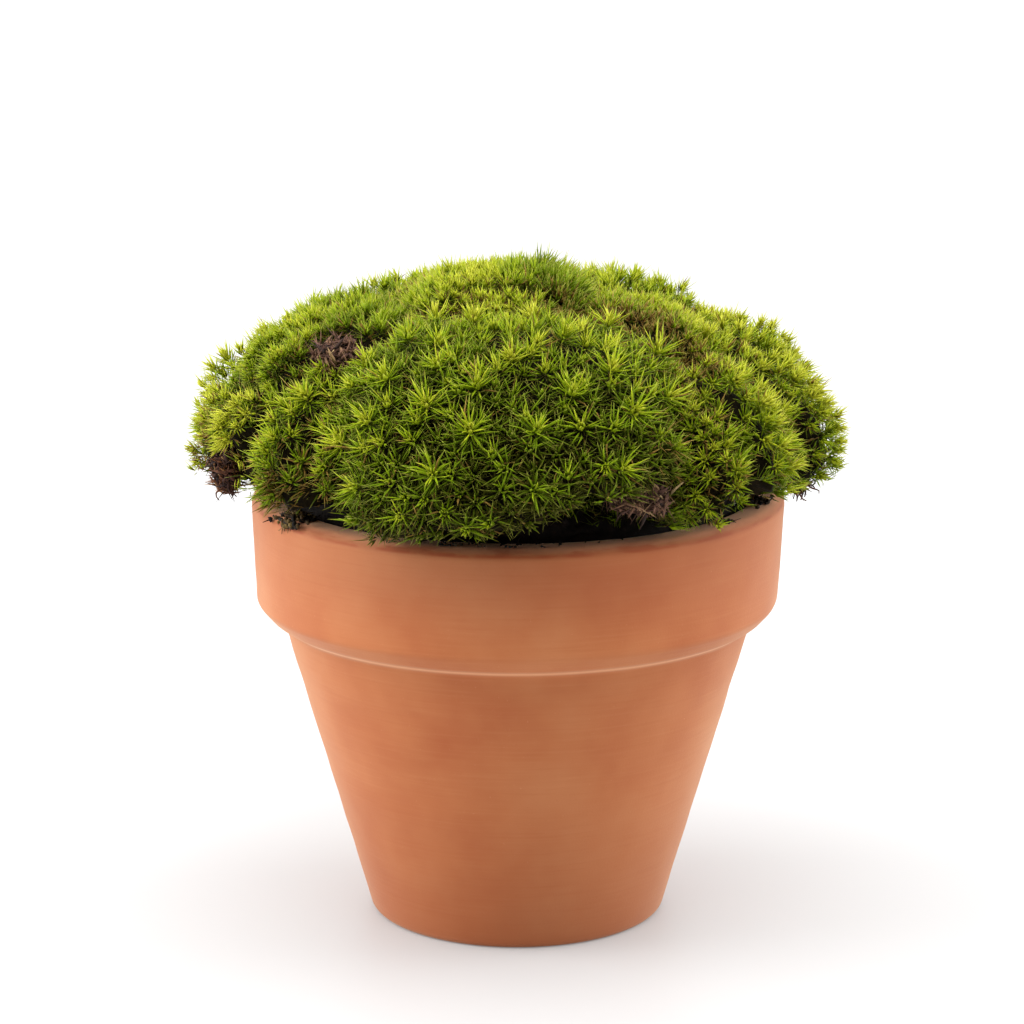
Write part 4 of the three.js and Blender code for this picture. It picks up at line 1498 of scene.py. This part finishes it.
    def buds(self, shoots: Shoots) -> Leaves:
        """Close the heart of each shoot with stout young leaves pressed together.

        Args:
            shoots: the shoots.

        Returns:
            The young leaves.
        """
        rng = np.random.default_rng(self.bud_seed)
        each = self.bud_leaves
        count = each * len(shoots.point)
        axis = np.repeat(shoots.axis, each, 0)
        across = unit(np.cross(axis, unit(rng.normal(size=3))))
        turn = FULL_TURN * (np.tile(np.arange(each), len(shoots.point)) / each)[:, None]
        around = np.cos(turn) * across + np.sin(turn) * np.cross(axis, across)
        scale = np.repeat(shoots.leaf, each) / 5.0
        spread = np.repeat(shoots.spread, each)
        root = np.repeat(shoots.point, each, 0) - 0.3 * axis + around * 0.1
        tone = np.repeat(shoots.tone, each) + 0.06 + 0.1 * spread + rng.normal(0, 0.03, count)
        tone = np.clip(tone, 0.2, 0.98)
        length = self.bud_height * scale * rng.uniform(0.8, 1.2, count) + 0.9
        width = 2 * self.bud_radius * (0.3 + 0.5 * scale + 0.4 * spread)
        bend = -0.1 * around
        way = unit(axis + 0.4 * around)
        return self.kept(Leaves(root, way, bend, bend * 0, around, length, width, tone))

    def low_carpet(self) -> tuple[Leaves, np.ndarray]:
        """Strew short old leaves over the ground between the shoots.

        Returns:
            The leaves, and the number of the mound that each belongs to.
        """
        rng = np.random.default_rng(self.low_seed)
        ground = self.form.ground(directions(rng.random((self.low_leaves, 2)), -0.3))
        sunk = sum(fold.share(ground.point) * fold.depth for fold in FOLDS)
        creased = np.exp(-((self.form.depth_inside(ground.mound, ground.dome) / 2.6) ** 2))
        needed = 0.16 + creased + 0.5 * sunk + np.maximum(-self.form.ribs(ground.point), 0)
        kept = rng.random(len(needed)) < needed
        ground, sunk = ground.only(kept), sunk[kept]
        count = len(sunk)
        root = ground.point + ground.normal * (self.mould_top(ground) - 0.4)[:, None]
        way = unit(ground.normal + rng.normal(0, 0.8, (count, 3)) + np.array([0, 0, 0.2]))
        bend, flick = rng.normal(0, 0.2, (2, count, 3))
        length = rng.uniform(1.8, 3.6, count)
        brown = rng.random(count) < 0.2 + 0.12 * np.maximum(sunk, 0)
        tone = np.where(brown, rng.uniform(0.0, 0.14, count), rng.uniform(0.18, 0.46, count))
        width = rng.uniform(0.4, 0.7, count)
        leaves = Leaves(root, way, bend, flick, ground.normal + 0.3, length, width, tone)
        tip = leaves.at(1.0)
        fits = (off_axis(tip) < LIP_INNER_R - 1) | (tip[:, 2] > self.form.hem_floor(angle_round(tip)))
        fits &= (self.tuft_distance(root) > 0) & within_belly(tip, 62.5, 90, 0.9)
        return leaves.only(fits), ground.mound[fits]

    def mould_top(self, ground: Ground) -> np.ndarray:
        """Give how far the matted leaf mould reaches above the ground."""
        spread = np.array([mound.spread for mound in MOUNDS])[ground.mound]
        return self.form.relief(ground) - self.mould_below - 1.2 * spread

    def mould(self, number: int) -> Shell:
        """Make the dark leaf mould of one mound, under its shoots; its near-black is partly painted shade.

        Args:
            number: the mound's number.

        Returns:
            A closed shell that fills the mound's own space down to the soil.
        """
        net, faces = sphere_net(self.mould_levels)
        toward = unit(self.form.at[number] - HEART)
        start = HEART + toward * (self.form.ground(toward[None]).reach[0] - self.mould_start)
        inside = np.ones(len(net), bool)
        reach = np.full(len(net), 0.5)
        for step in np.arange(1.0, self.mould_reach, self.mould_step):
            inside &= self.in_mould(number, start + net * step)
            reach = np.where(inside, step, reach)
        # Halve the last step until the mould's surface is found.
        low, high = reach, reach + self.mould_step
        for _ in range(6):
            middle = (low + high) / 2
            within = self.in_mould(number, start + net * middle[:, None])
            low, high = np.where(within, middle, low), np.where(within, high, middle)
        corners = start + net * low[:, None]
        turn = angle_round(net) / FULL_TURN + 0.5
        chart = np.stack([turn, 0.01 + 0.035 * (net[:, 2] + 1)], 1)
        return Shell(corners, faces, chart, 1)

    def in_mould(self, number: int, points: np.ndarray) -> np.ndarray:
        """Tell which points lie inside a mound's leaf mould.

        Args:
            number: the mound's number.
            points: places in millimetres.

        Returns:
            True for each point inside.
        """
        away = points - HEART
        ground = self.form.ground(unit(away))
        r = off_axis(points)
        floor = np.where(r < LIP_INNER_R - 0.3, bed_height(r) + 0.3, POT_HEIGHT + 0.4)
        hem = self.form.hem_floor(angle_round(points)) + 0.8
        floor = np.where(r > LIP_INNER_R - 4, np.maximum(floor, hem), floor)
        under = np.linalg.norm(away, axis=1) < ground.reach + self.mould_top(ground)
        under &= within_belly(points, 59, 90, 0.9)
        own = np.full(len(points), number)
        return under & (points[:, 2] > floor) & (self.form.depth_inside(own, points) > self.mould_gap)

    def build(self) -> list[bpy.types.Object]:
        """Build and dress every mound.

        Returns:
            The mounds' pieces.
        """
        leaf = GrownLeaf().build()
        # Leaf mould under the shoots, its brown darkened to near black as painted shade, so that the gaps
        # between the shoots look deep.
        matted = PeatySoil("leaf_mould_matted", "#0f0c06", "#1d180b", "#322c10", gloss=0.03).build()
        shoots = self.shoots()
        carpet, carpet_mound = self.low_carpet()
        pieces = []
        for number, mound in enumerate(MOUNDS):
            own = shoots.only(shoots.mound == number)
            per_shoot = round(self.brush_leaves + (self.open_leaves - self.brush_leaves) * mound.spread)
            stars = self.leaves(own.only(own.star), per_shoot + self.star_extra_leaves, 100 + number)
            rest = self.leaves(own.only(~own.star), per_shoot, 200 + number)
            plain = (rest, self.buds(own), carpet.only(carpet_mound == number))
            shells = [stars.shell(LeafForm.FINE)] + [leaves.shell(LeafForm.PLAIN) for leaves in plain]
            shells.append(self.mould(number))
            piece = make_piece(f"{mound.name}_shoots", shells, [leaf, matted])
            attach(piece, "root")
            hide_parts(mound.name)
            pieces.append(piece)
        return pieces


@dataclass
class ClayPot:
    """The thrown pot: tapered body, deep band with a rounded lip, floor and drain hole."""

    sides: int = 144
    wobble: float = 0.1
    finger_rings: float = 0.05
    longest_run: float = 2.4
    band_foot: tuple[float, float] = (49.1, 61.1)
    undercut: tuple[float, float] = (46.7, 58.5)
    neck: tuple[float, float] = (44.3, 57.5)
    foot_r: float = 28.0
    foot_chamfer: float = 0.8
    wall: float = 4.8
    band_wall: float = 6.2
    floor: float = 6.0
    drain_r: float = 5.5

    def outline(self) -> tuple[np.ndarray, np.ndarray]:
        """Give the profile's corners and how far each is rounded.

        Returns:
            The radius and height of each corner, and the rounding of each.
        """
        rows = [
            (self.drain_r, 0, 0.6),
            (self.foot_r - self.foot_chamfer, 0, 0.5),
            (self.foot_r, self.foot_chamfer, 0.5),
            (self.neck[0] - 0.2, self.neck[1] - 0.7, 0.7),
            (self.neck[0] + 0.6, self.neck[1], 0.4),
            (*self.undercut, 0.5),
            (*self.band_foot, 0.8),
            (RIM_R, POT_HEIGHT - 1.5, 0.9),
            (RIM_R - 1.6, POT_HEIGHT, 1.1),
            (LIP_INNER_R + 0.7, POT_HEIGHT, 0.8),
            (LIP_INNER_R, POT_HEIGHT - 1.4, 0.6),
            (self.band_foot[0] - self.band_wall, self.band_foot[1], 1.0),
            (self.neck[0] - self.wall, self.neck[1], 1.0),
            (self.foot_r - self.wall, self.floor, 2.0),
            (self.drain_r, self.floor, 0.6),
        ]
        table = np.array(rows, float)
        return table[:, :2], table[:, 2]

    def profile(self) -> np.ndarray:
        """Round the outline's corners and divide its straight runs.

        Returns:
            The radius and height of each point of the profile.
        """
        corners, rounding = self.outline()
        count = len(corners)
        points = []
        for k in range(count):
            before, here, after = corners[k - 1], corners[k], corners[(k + 1) % count]
            back, on = before - here, after - here
            cut = min(rounding[k], 0.45 * np.linalg.norm(back), 0.45 * np.linalg.norm(on))
            start, end = here + cut * unit(back), here + cut * unit(on)
            for t in np.linspace(0, 1, 5):
                points.append((1 - t) ** 2 * start + 2 * t * (1 - t) * here + t * t * end)
        fine = [points[0]]
        for point in points[1:] + [points[0]]:
            steps = max(1, int(np.linalg.norm(point - fine[-1]) // self.longest_run))
            last = fine[-1]
            fine += [last + (point - last) * (s + 1) / steps for s in range(steps)]
        return np.array(fine[:-1])

    def build(self) -> bpy.types.Object:
        """Build and dress the pot.

        Returns:
            The pot's piece.
        """
        shell = turned_shell(self.profile(), self.sides, True)
        way = shell.corners * np.array([1, 1, 0]) / off_axis(shell.corners)[:, None]
        drift = Ripple(60, 21).at(shell.corners) + 0.4 * Ripple(14, 22).at(shell.corners)
        rings = Ripple(7.0, 23).at(shell.corners * np.array([0.02, 0.02, 1]))
        above_foot = np.clip((shell.corners[:, 2] - 2) / 6, 0, 1)
        offset = (self.wobble * drift + self.finger_rings * rings) * above_foot
        shell.corners = shell.corners + way * offset[:, None]
        piece = make_piece("clay_pot_turned", [shell], [FiredClay().build()])
        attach(piece, "root")
        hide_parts("pot")
        return piece


@dataclass
class SoilHeap:
    """Damp soil that fills the pot and heaps up under the plant, with loose crumbs on it."""

    sides: int = 96
    rings: int = 36
    crumbs: int = 200
    crumb_seed: int = 41
    outermost_crumb: float = 42.2
    wall: tuple[tuple[float, float], ...] = ((0, 6.3), (22.4, 6.3), (38.7, 57.2), (42.2, 61.1))
    wall_top_z: float = 75.7
    clearance: float = 0.75

    def build(self) -> bpy.types.Object:
        """Build and dress the soil.

        Returns:
            The soil's piece.
        """
        edge = LIP_INNER_R - self.clearance
        wall = np.array([*self.wall, (edge, self.wall_top_z)])
        r = edge * np.cos(np.linspace(0, math.pi / 2, self.rings))
        r[-1] = 0
        dome = np.stack([r, bed_height(r) - 0.7], 1)
        shell = turned_shell(np.concatenate([wall, dome]), self.sides, False)
        top = shell.corners[:, 2] > SOIL_EDGE_Z - 1.2
        lumps = 0.55 * Ripple(5.0, 31).at(shell.corners) + 0.4 * Ripple(1.9, 32, 14).at(shell.corners)
        shell.corners[:, 2] += np.where(top, np.clip(lumps, -0.9, 0.7), 0)
        piece = make_piece("soil_heap", [shell] + self.loose_crumbs(), [PeatySoil().build()])
        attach(piece, "root")
        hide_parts("soil")
        return piece

    def loose_crumbs(self) -> list[Shell]:
        """Scatter crumbs over the outer part of the heap, where the hem lifts.

        Returns:
            A shell for each crumb.
        """
        rng = np.random.default_rng(self.crumb_seed)
        net, faces = sphere_net(1)
        crumbs = []
        for _ in range(self.crumbs):
            r = self.outermost_crumb * math.sqrt(rng.uniform(0.55, 1))
            turn = rng.uniform(0, FULL_TURN)
            middle = np.array([r * math.cos(turn), r * math.sin(turn), bed_height(np.array(r)) - 0.2])
            size = rng.uniform(0.35, 0.95) * rng.uniform(0.6, 1.1, 3)
            lumpy = 1 + 0.25 * rng.normal(size=(len(net), 1)) * 0.6
            crumbs.append(Shell(middle + net * size * lumpy, faces, 0.5 + 0.4 * net[:, :2]))
        return crumbs


@dataclass(frozen=True)
class Strands:
    """Thin dry strands that leave a clump.

    Attributes:
        count: how many there are.
        length: how long they are.
        radius: how thick they are at the foot.
        toward: where they head.
        stray: how much their headings differ.
        winding: how widely they wind.
    """

    count: int
    length: float
    radius: float
    toward: tuple[float, float, float]
    stray: float
    winding: float

    def grow(self, tuft: Tuft, rng: np.random.Generator) -> list[Shell]:
        """Grow the strands out of a tuft.

        Args:
            tuft: where they start.
            rng: for their random part.

        Returns:
            One thin tube a strand.
        """
        steps = np.linspace(0, 1, 9)
        shells = []
        for _ in range(self.count):
            look = unit(rng.normal(size=3))
            root = np.array(tuft.at) + look * np.array(tuft.half) * 0.7
            heading = unit(np.array(self.toward) + self.stray * rng.normal(size=3))
            wave = unit(np.cross(heading, rng.normal(size=3)))
            other = np.cross(heading, wave)
            length = self.length * rng.uniform(0.45, 1.2)
            swing = self.winding * rng.uniform(0.4, 1.3)
            turns = rng.uniform(0.5, 1.6)
            start = rng.uniform(0, FULL_TURN)
            angle = start + turns * FULL_TURN * steps
            bow = swing * steps[:, None] * (np.cos(angle)[:, None] * wave + np.sin(angle)[:, None] * other)
            path = CushionForm.clear_of_pot(root + length * steps[:, None] * heading + bow, 0.5)
            radii = self.radius * rng.uniform(0.7, 1.2) * (1 - 0.75 * steps)
            shells.append(tube(path, radii, rng.uniform(0.05, 0.5)))
        return shells


@dataclass(frozen=True)
class DriedClump:
    """A clump of curled, matted dead leaves about a dark lump, with strands that hang or stick out of it.

    Attributes:
        tuft: its node, place and size.
        finish: its material.
        slot: the name of its material's slot; not used.
        scraps: how many dead leaves it has.
        scrap_mm: how long they are.
        curl: how much they curl.
        strands: what hangs or sticks out of it.
        seed: for its random parts.
    """

    tuft: Tuft
    finish: DriedShoot
    slot: str
    scraps: int
    scrap_mm: float
    curl: float
    strands: Strands
    seed: int

    def lump(self) -> Shell:
        """Make the clump's dark middle.

        Returns:
            A closed, lumpy shell.
        """
        net, faces = sphere_net(2)
        lumpy = 1 + 0.16 * Ripple(1.1, self.seed).at(net)
        corners = np.array(self.tuft.at) + net * np.array(self.tuft.half) * 0.72 * lumpy[:, None]
        chart = np.stack([0.02 + 0.03 * (net[:, 0] + 1), 0.1 + 0.2 * (net[:, 2] + 1)], 1)
        return Shell(CushionForm.clear_of_pot(corners, 0.4), faces, chart)

    def matted(self) -> Leaves:
        """Mat curled scraps over the lump, most of them lying flat on it.

        Returns:
            The scraps, as leaves.
        """
        rng = np.random.default_rng(self.seed)
        count = self.scraps
        look = unit(rng.normal(size=(count, 3)) + 0.7 * unit(np.array(self.tuft.toward)))
        root = np.array(self.tuft.at) + look * np.array(self.tuft.half) * rng.uniform(0.6, 1.02, (count, 1))
        flat = unit(np.cross(look, rng.normal(size=(count, 3))))
        way = unit(flat + look * rng.uniform(-0.2, 0.45, (count, 1)) + 0.2 * np.array(self.tuft.toward))
        across = np.cross(look, flat)
        aside = across * rng.normal(size=(count, 1))
        bend = self.curl * (aside - look * rng.uniform(-0.2, 0.9, (count, 1)))
        flick = self.curl * 0.6 * rng.normal(size=(count, 3))
        length = self.scrap_mm * rng.uniform(0.4, 1.25, count)
        width = rng.uniform(0.35, 1.0, count)
        tone = np.clip(rng.beta(1.4, 2.4, count), 0.02, 0.98)
        return Leaves(root, way, bend, flick, look, length, width, tone)

    def build(self) -> bpy.types.Object:
        """Build and dress the clump.

        Returns:
            The clump's piece.
        """
        shells = [self.lump(), self.matted().shell(LeafForm.SCRAP)]
        shells += self.strands.grow(self.tuft, np.random.default_rng(self.seed + 50))
        piece = make_piece(f"{self.tuft.name}_curled", shells, [self.finish.build()])
        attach(piece, "root")
        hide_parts(self.tuft.name)
        return piece


@dataclass(frozen=True)
class CrumbPatch:
    """Crumbs that fell on one part of the rim.

    Attributes:
        turn_deg: where they lie round the pot.
        spread_deg: how far they are strewn to each side.
        count: how many there are.
        largest: the largest one's radius.
        spill: how far they are heaped up and hang over the edge.
    """

    turn_deg: float
    spread_deg: float
    count: int
    largest: float
    spill: float = 0.0


@dataclass(frozen=True)
class RimCrumbs:
    """Crumbs of soil and dry moss on the pot's rim, with a few dry threads among them."""

    patches: tuple[CrumbPatch, ...] = (
        CrumbPatch(-146.5, 4.4, 210, 0.6, 1.3),
        CrumbPatch(-170, 4.0, 46, 0.6),
        CrumbPatch(-16, 5.0, 60, 0.6),
        CrumbPatch(-38, 5.0, 26, 0.5),
        CrumbPatch(-92, 22.0, 40, 0.4),
        CrumbPatch(60, 16.0, 40, 0.5),
        CrumbPatch(140, 20.0, 40, 0.5),
    )
    seed: int = 61
    thread_mm: float = 2.4

    def thread(self, at: np.ndarray, rise: float, tone: float, rng: np.random.Generator) -> Shell:
        """Make a dry thread that lies by a crumb.

        Args:
            at: where it starts.
            rise: how much it heads up, or below 0 down.
            tone: its place on the crumbs' chart.
            rng: for its random part.

        Returns:
            A thin tube.
        """
        heading = unit(rng.normal(size=3) * np.array([1, 1, 0.25]) + np.array([0, 0, rise]))
        steps = np.linspace(0, 1, 6)[:, None]
        bow = 0.5 * rng.normal(size=3) * steps * (1 - steps)
        path = at + self.thread_mm * rng.uniform(0.5, 1.2) * steps * heading + bow
        return tube(CushionForm.clear_of_pot(path, 0.25), np.linspace(0.13, 0.06, 6), tone, 4)

    def strewn(self, patch: CrumbPatch, rng: np.random.Generator) -> list[Shell]:
        """Strew one patch of crumbs, with a thread by every fourth.

        Args:
            patch: where the crumbs lie, and how many.
            rng: for their random part.

        Returns:
            The crumbs and threads.
        """
        shells = []
        net, faces = sphere_net(0)
        for number in range(patch.count):
            turn = math.radians(patch.turn_deg + patch.spread_deg * rng.normal() * 0.5)
            r = rng.uniform(LIP_INNER_R + 1.2, RIM_R - 1.7)
            size = patch.largest * rng.uniform(0.3, 1.0) * rng.uniform(0.6, 1.1, 3)
            height = POT_HEIGHT + 0.75 * size[2]
            if patch.spill and number % 3:
                # The clump lies heaped on the edge and hangs over it.
                drop = patch.spill * rng.uniform(-1.4, 1.0)
                height = POT_HEIGHT + 0.3 - drop
                if drop > 0:
                    r = RIM_R - 0.4 + 0.9 * size[0] + 0.25 * rng.random()
                else:
                    r = RIM_R - rng.uniform(0.4, 2.4)
            at = np.array([r * math.cos(turn), r * math.sin(turn), height])
            lumpy = 1 + 0.14 * rng.normal(size=(len(net), 1))
            tone = rng.uniform(0.02, 0.85 if patch.spill else 0.5)
            chart = np.stack([tone + 0.01 * net[:, 0], 0.5 + 0.3 * net[:, 2]], 1)
            shells.append(Shell(at + net * size * lumpy, faces, np.clip(chart, 0.001, 0.999)))
            if number % 4 == 0:
                rise = -0.9 if patch.spill and r > RIM_R - 0.5 else 0.2
                shells.append(self.thread(at, rise, tone, rng))
        return shells

    def build(self) -> bpy.types.Object:
        """Build and dress the crumbs.

        Returns:
            The crumbs' piece.
        """
        rng = np.random.default_rng(self.seed)
        shells = [shell for patch in self.patches for shell in self.strewn(patch, rng)]
        piece = make_piece("rim_crumbs", shells, [CRUMB_BROWN.build()])
        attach(piece, "root")
        return piece


@dataclass(frozen=True)
class Softbox:
    """A square soft light that faces the plant: its name, place and side in metres, and power in watts."""

    name: str
    at: tuple[float, float, float]
    side: float
    watts: float

    def hang(self) -> None:
        """Hang the light in the scene."""
        lamp = bpy.data.lights.new(self.name, "AREA")
        lamp.shape = "SQUARE"
        lamp.size = self.side
        lamp.energy = self.watts
        box = bpy.data.objects.new(self.name, lamp)
        box.location = self.at
        toward = Vector((0, 0, 0.08)) - Vector(self.at)
        box.rotation_euler = toward.to_track_quat("-Z", "Y").to_euler()
        box.visible_camera = False
        bpy.context.scene.collection.objects.link(box)


@dataclass(frozen=True)
class Studio:
    """A plain pale floor, soft white light all round, and the camera."""

    camera_at: tuple[float, float, float] = (-0.0010, -0.650, 0.2287)
    pitch: float = 0.2297
    lens: float = 124.7
    floor_white: float = 0.42
    floor_half_mm: float = 4000.0
    floor_thick_mm: float = 10.0
    glow_heart: tuple[float, float, float] = (0.02, -0.04, 0.0)
    glow_span: tuple[float, float] = (0.05, 0.36)
    glow: tuple[float, float] = (0.165, 0.33)
    # Light of the room: from where to where it grows along an axis, and its strength at both.
    behind: tuple[float, ...] = (-0.66, 0.08, 0.03, 1.36)
    overhead: tuple[float, ...] = (0.25, 0.95, 0.0, 0.6)
    softboxes: tuple[Softbox, ...] = (
        Softbox("softbox_top", (0.0, -0.32, 0.9), 0.7, 6.5),
        Softbox("softbox_left", (-0.84, -0.06, 0.42), 0.6, 6.8),
        Softbox("softbox_right", (0.85, 0.12, 0.42), 0.6, 4.4),
    )

    def floor(self) -> None:
        """Lay the floor."""
        square = ((-1, -1), (1, -1), (1, 1), (-1, 1))
        corners = np.array([(x, y, z) for z in (-self.floor_thick_mm, 0) for x, y in square], float)
        corners[:, :2] *= self.floor_half_mm
        faces = [(0, 2, 1), (0, 3, 2), (4, 5, 6), (4, 6, 7), (0, 1, 5), (0, 5, 4), (1, 2, 6), (1, 6, 5)]
        faces += [(2, 3, 7), (2, 7, 6), (3, 0, 4), (3, 4, 7)]
        material, tree, shader = bare_material("studio_floor_white")
        shader.inputs["Base Color"].default_value = (self.floor_white,) * 3 + (1,)
        shader.inputs["Roughness"].default_value = Roughness.STUDIO_FLOOR.value
        shader.inputs["Specular IOR Level"].default_value = 0.3
        # The sweep is lit on its own, so it glows more the farther it lies from the pot.
        place = add_node(tree, "ShaderNodeTexCoord").outputs["Object"]
        away = add_node(tree, "ShaderNodeVectorMath", {0: place, 1: self.glow_heart}, operation="DISTANCE")
        limits = dict(enumerate((away.outputs["Value"], *self.glow_span, *self.glow)))
        glow = add_node(tree, "ShaderNodeMapRange", limits, **SMOOTH)
        tree.links.new(glow.outputs[0], shader.inputs["Emission Strength"])
        shader.inputs["Emission Color"].default_value = (1, 1, 1, 1)
        floor = make_piece("studio_floor", [Shell(corners, np.array(faces), corners[:, :2] * 0)], [material])
        floor.data.shade_flat()

    def world(self) -> None:
        """Light the scene from all round, more from the sides and behind than from the camera's side."""
        world = bpy.data.worlds.new("white_room")
        world.use_nodes = True
        tree = world.node_tree
        tree.nodes.clear()
        way = add_node(tree, "ShaderNodeTexCoord").outputs["Generated"]
        split = add_node(tree, "ShaderNodeSeparateXYZ", {0: way})
        lights = []
        for axis, span in (("Y", self.behind), ("Z", self.overhead)):
            limits = dict(enumerate((split.outputs[axis], *span)))
            lights.append(add_node(tree, "ShaderNodeMapRange", limits, **SMOOTH).outputs[0])
        shade = add_node(tree, "ShaderNodeMath", dict(enumerate(lights)), operation="ADD")
        seen = add_node(tree, "ShaderNodeLightPath").outputs["Is Camera Ray"]
        strength = add_node(tree, "ShaderNodeMix", {0: seen, 2: shade.outputs[0], 3: 1.0})
        white = {"Color": (1, 1, 1, 1), "Strength": strength.outputs[0]}
        light = add_node(tree, "ShaderNodeBackground", white)
        add_node(tree, "ShaderNodeOutputWorld", {0: light.outputs[0]})
        bpy.context.scene.world = world

    def build(self) -> None:
        """Set up floor, light, camera and colour."""
        self.floor()
        self.world()
        for softbox in self.softboxes:
            softbox.hang()
        camera = bpy.data.cameras.new("camera")
        camera.lens = self.lens
        camera.sensor_width = 36
        camera.clip_end = 20
        view = bpy.data.objects.new("camera", camera)
        view.location = self.camera_at
        view.rotation_euler = (math.pi / 2 - self.pitch, 0, 0)
        scene = bpy.context.scene
        scene.collection.objects.link(view)
        scene.camera = view
        scene.view_settings.view_transform = "Standard"


def main() -> None:
    """Build the studio, the pot, the soil and the plant, in this order."""
    logging.basicConfig(level=logging.INFO, format="%(name)s: %(message)s")
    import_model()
    Studio().build()
    ClayPot().build()
    SoilHeap().build()
    Cushion().build()
    straggle = Strands(8, 3.2, 0.13, (-0.2, -0.5, 0.5), 0.8, 1.6)
    hanging = Strands(12, 4.2, 0.36, (0.15, -0.2, -1.0), 0.3, 0.6)
    stubs = Strands(14, 4.6, 0.42, (0.2, -0.2, -1.0), 0.35, 0.7)
    clumps = (
        DriedClump(DRIED_TUFTS[0], DRIED_BROWN, "dried_shoots", 700, 1.7, 1.0, straggle, 300),
        DriedClump(DRIED_TUFTS[1], DRIED_BROWN, "dried_shoots", 700, 1.7, 1.0, straggle, 301),
        DriedClump(ROOTLET_TUFTS[0], ROOTLET_BROWN, "rootlets", 900, 1.25, 1.3, hanging, 400),
        DriedClump(ROOTLET_TUFTS[1], ROOTLET_BROWN, "rootlets", 420, 1.2, 1.2, stubs, 410),
    )
    for clump in clumps:
        clump.build()
    RimCrumbs().build()


if __name__ == "__main__":
    main()
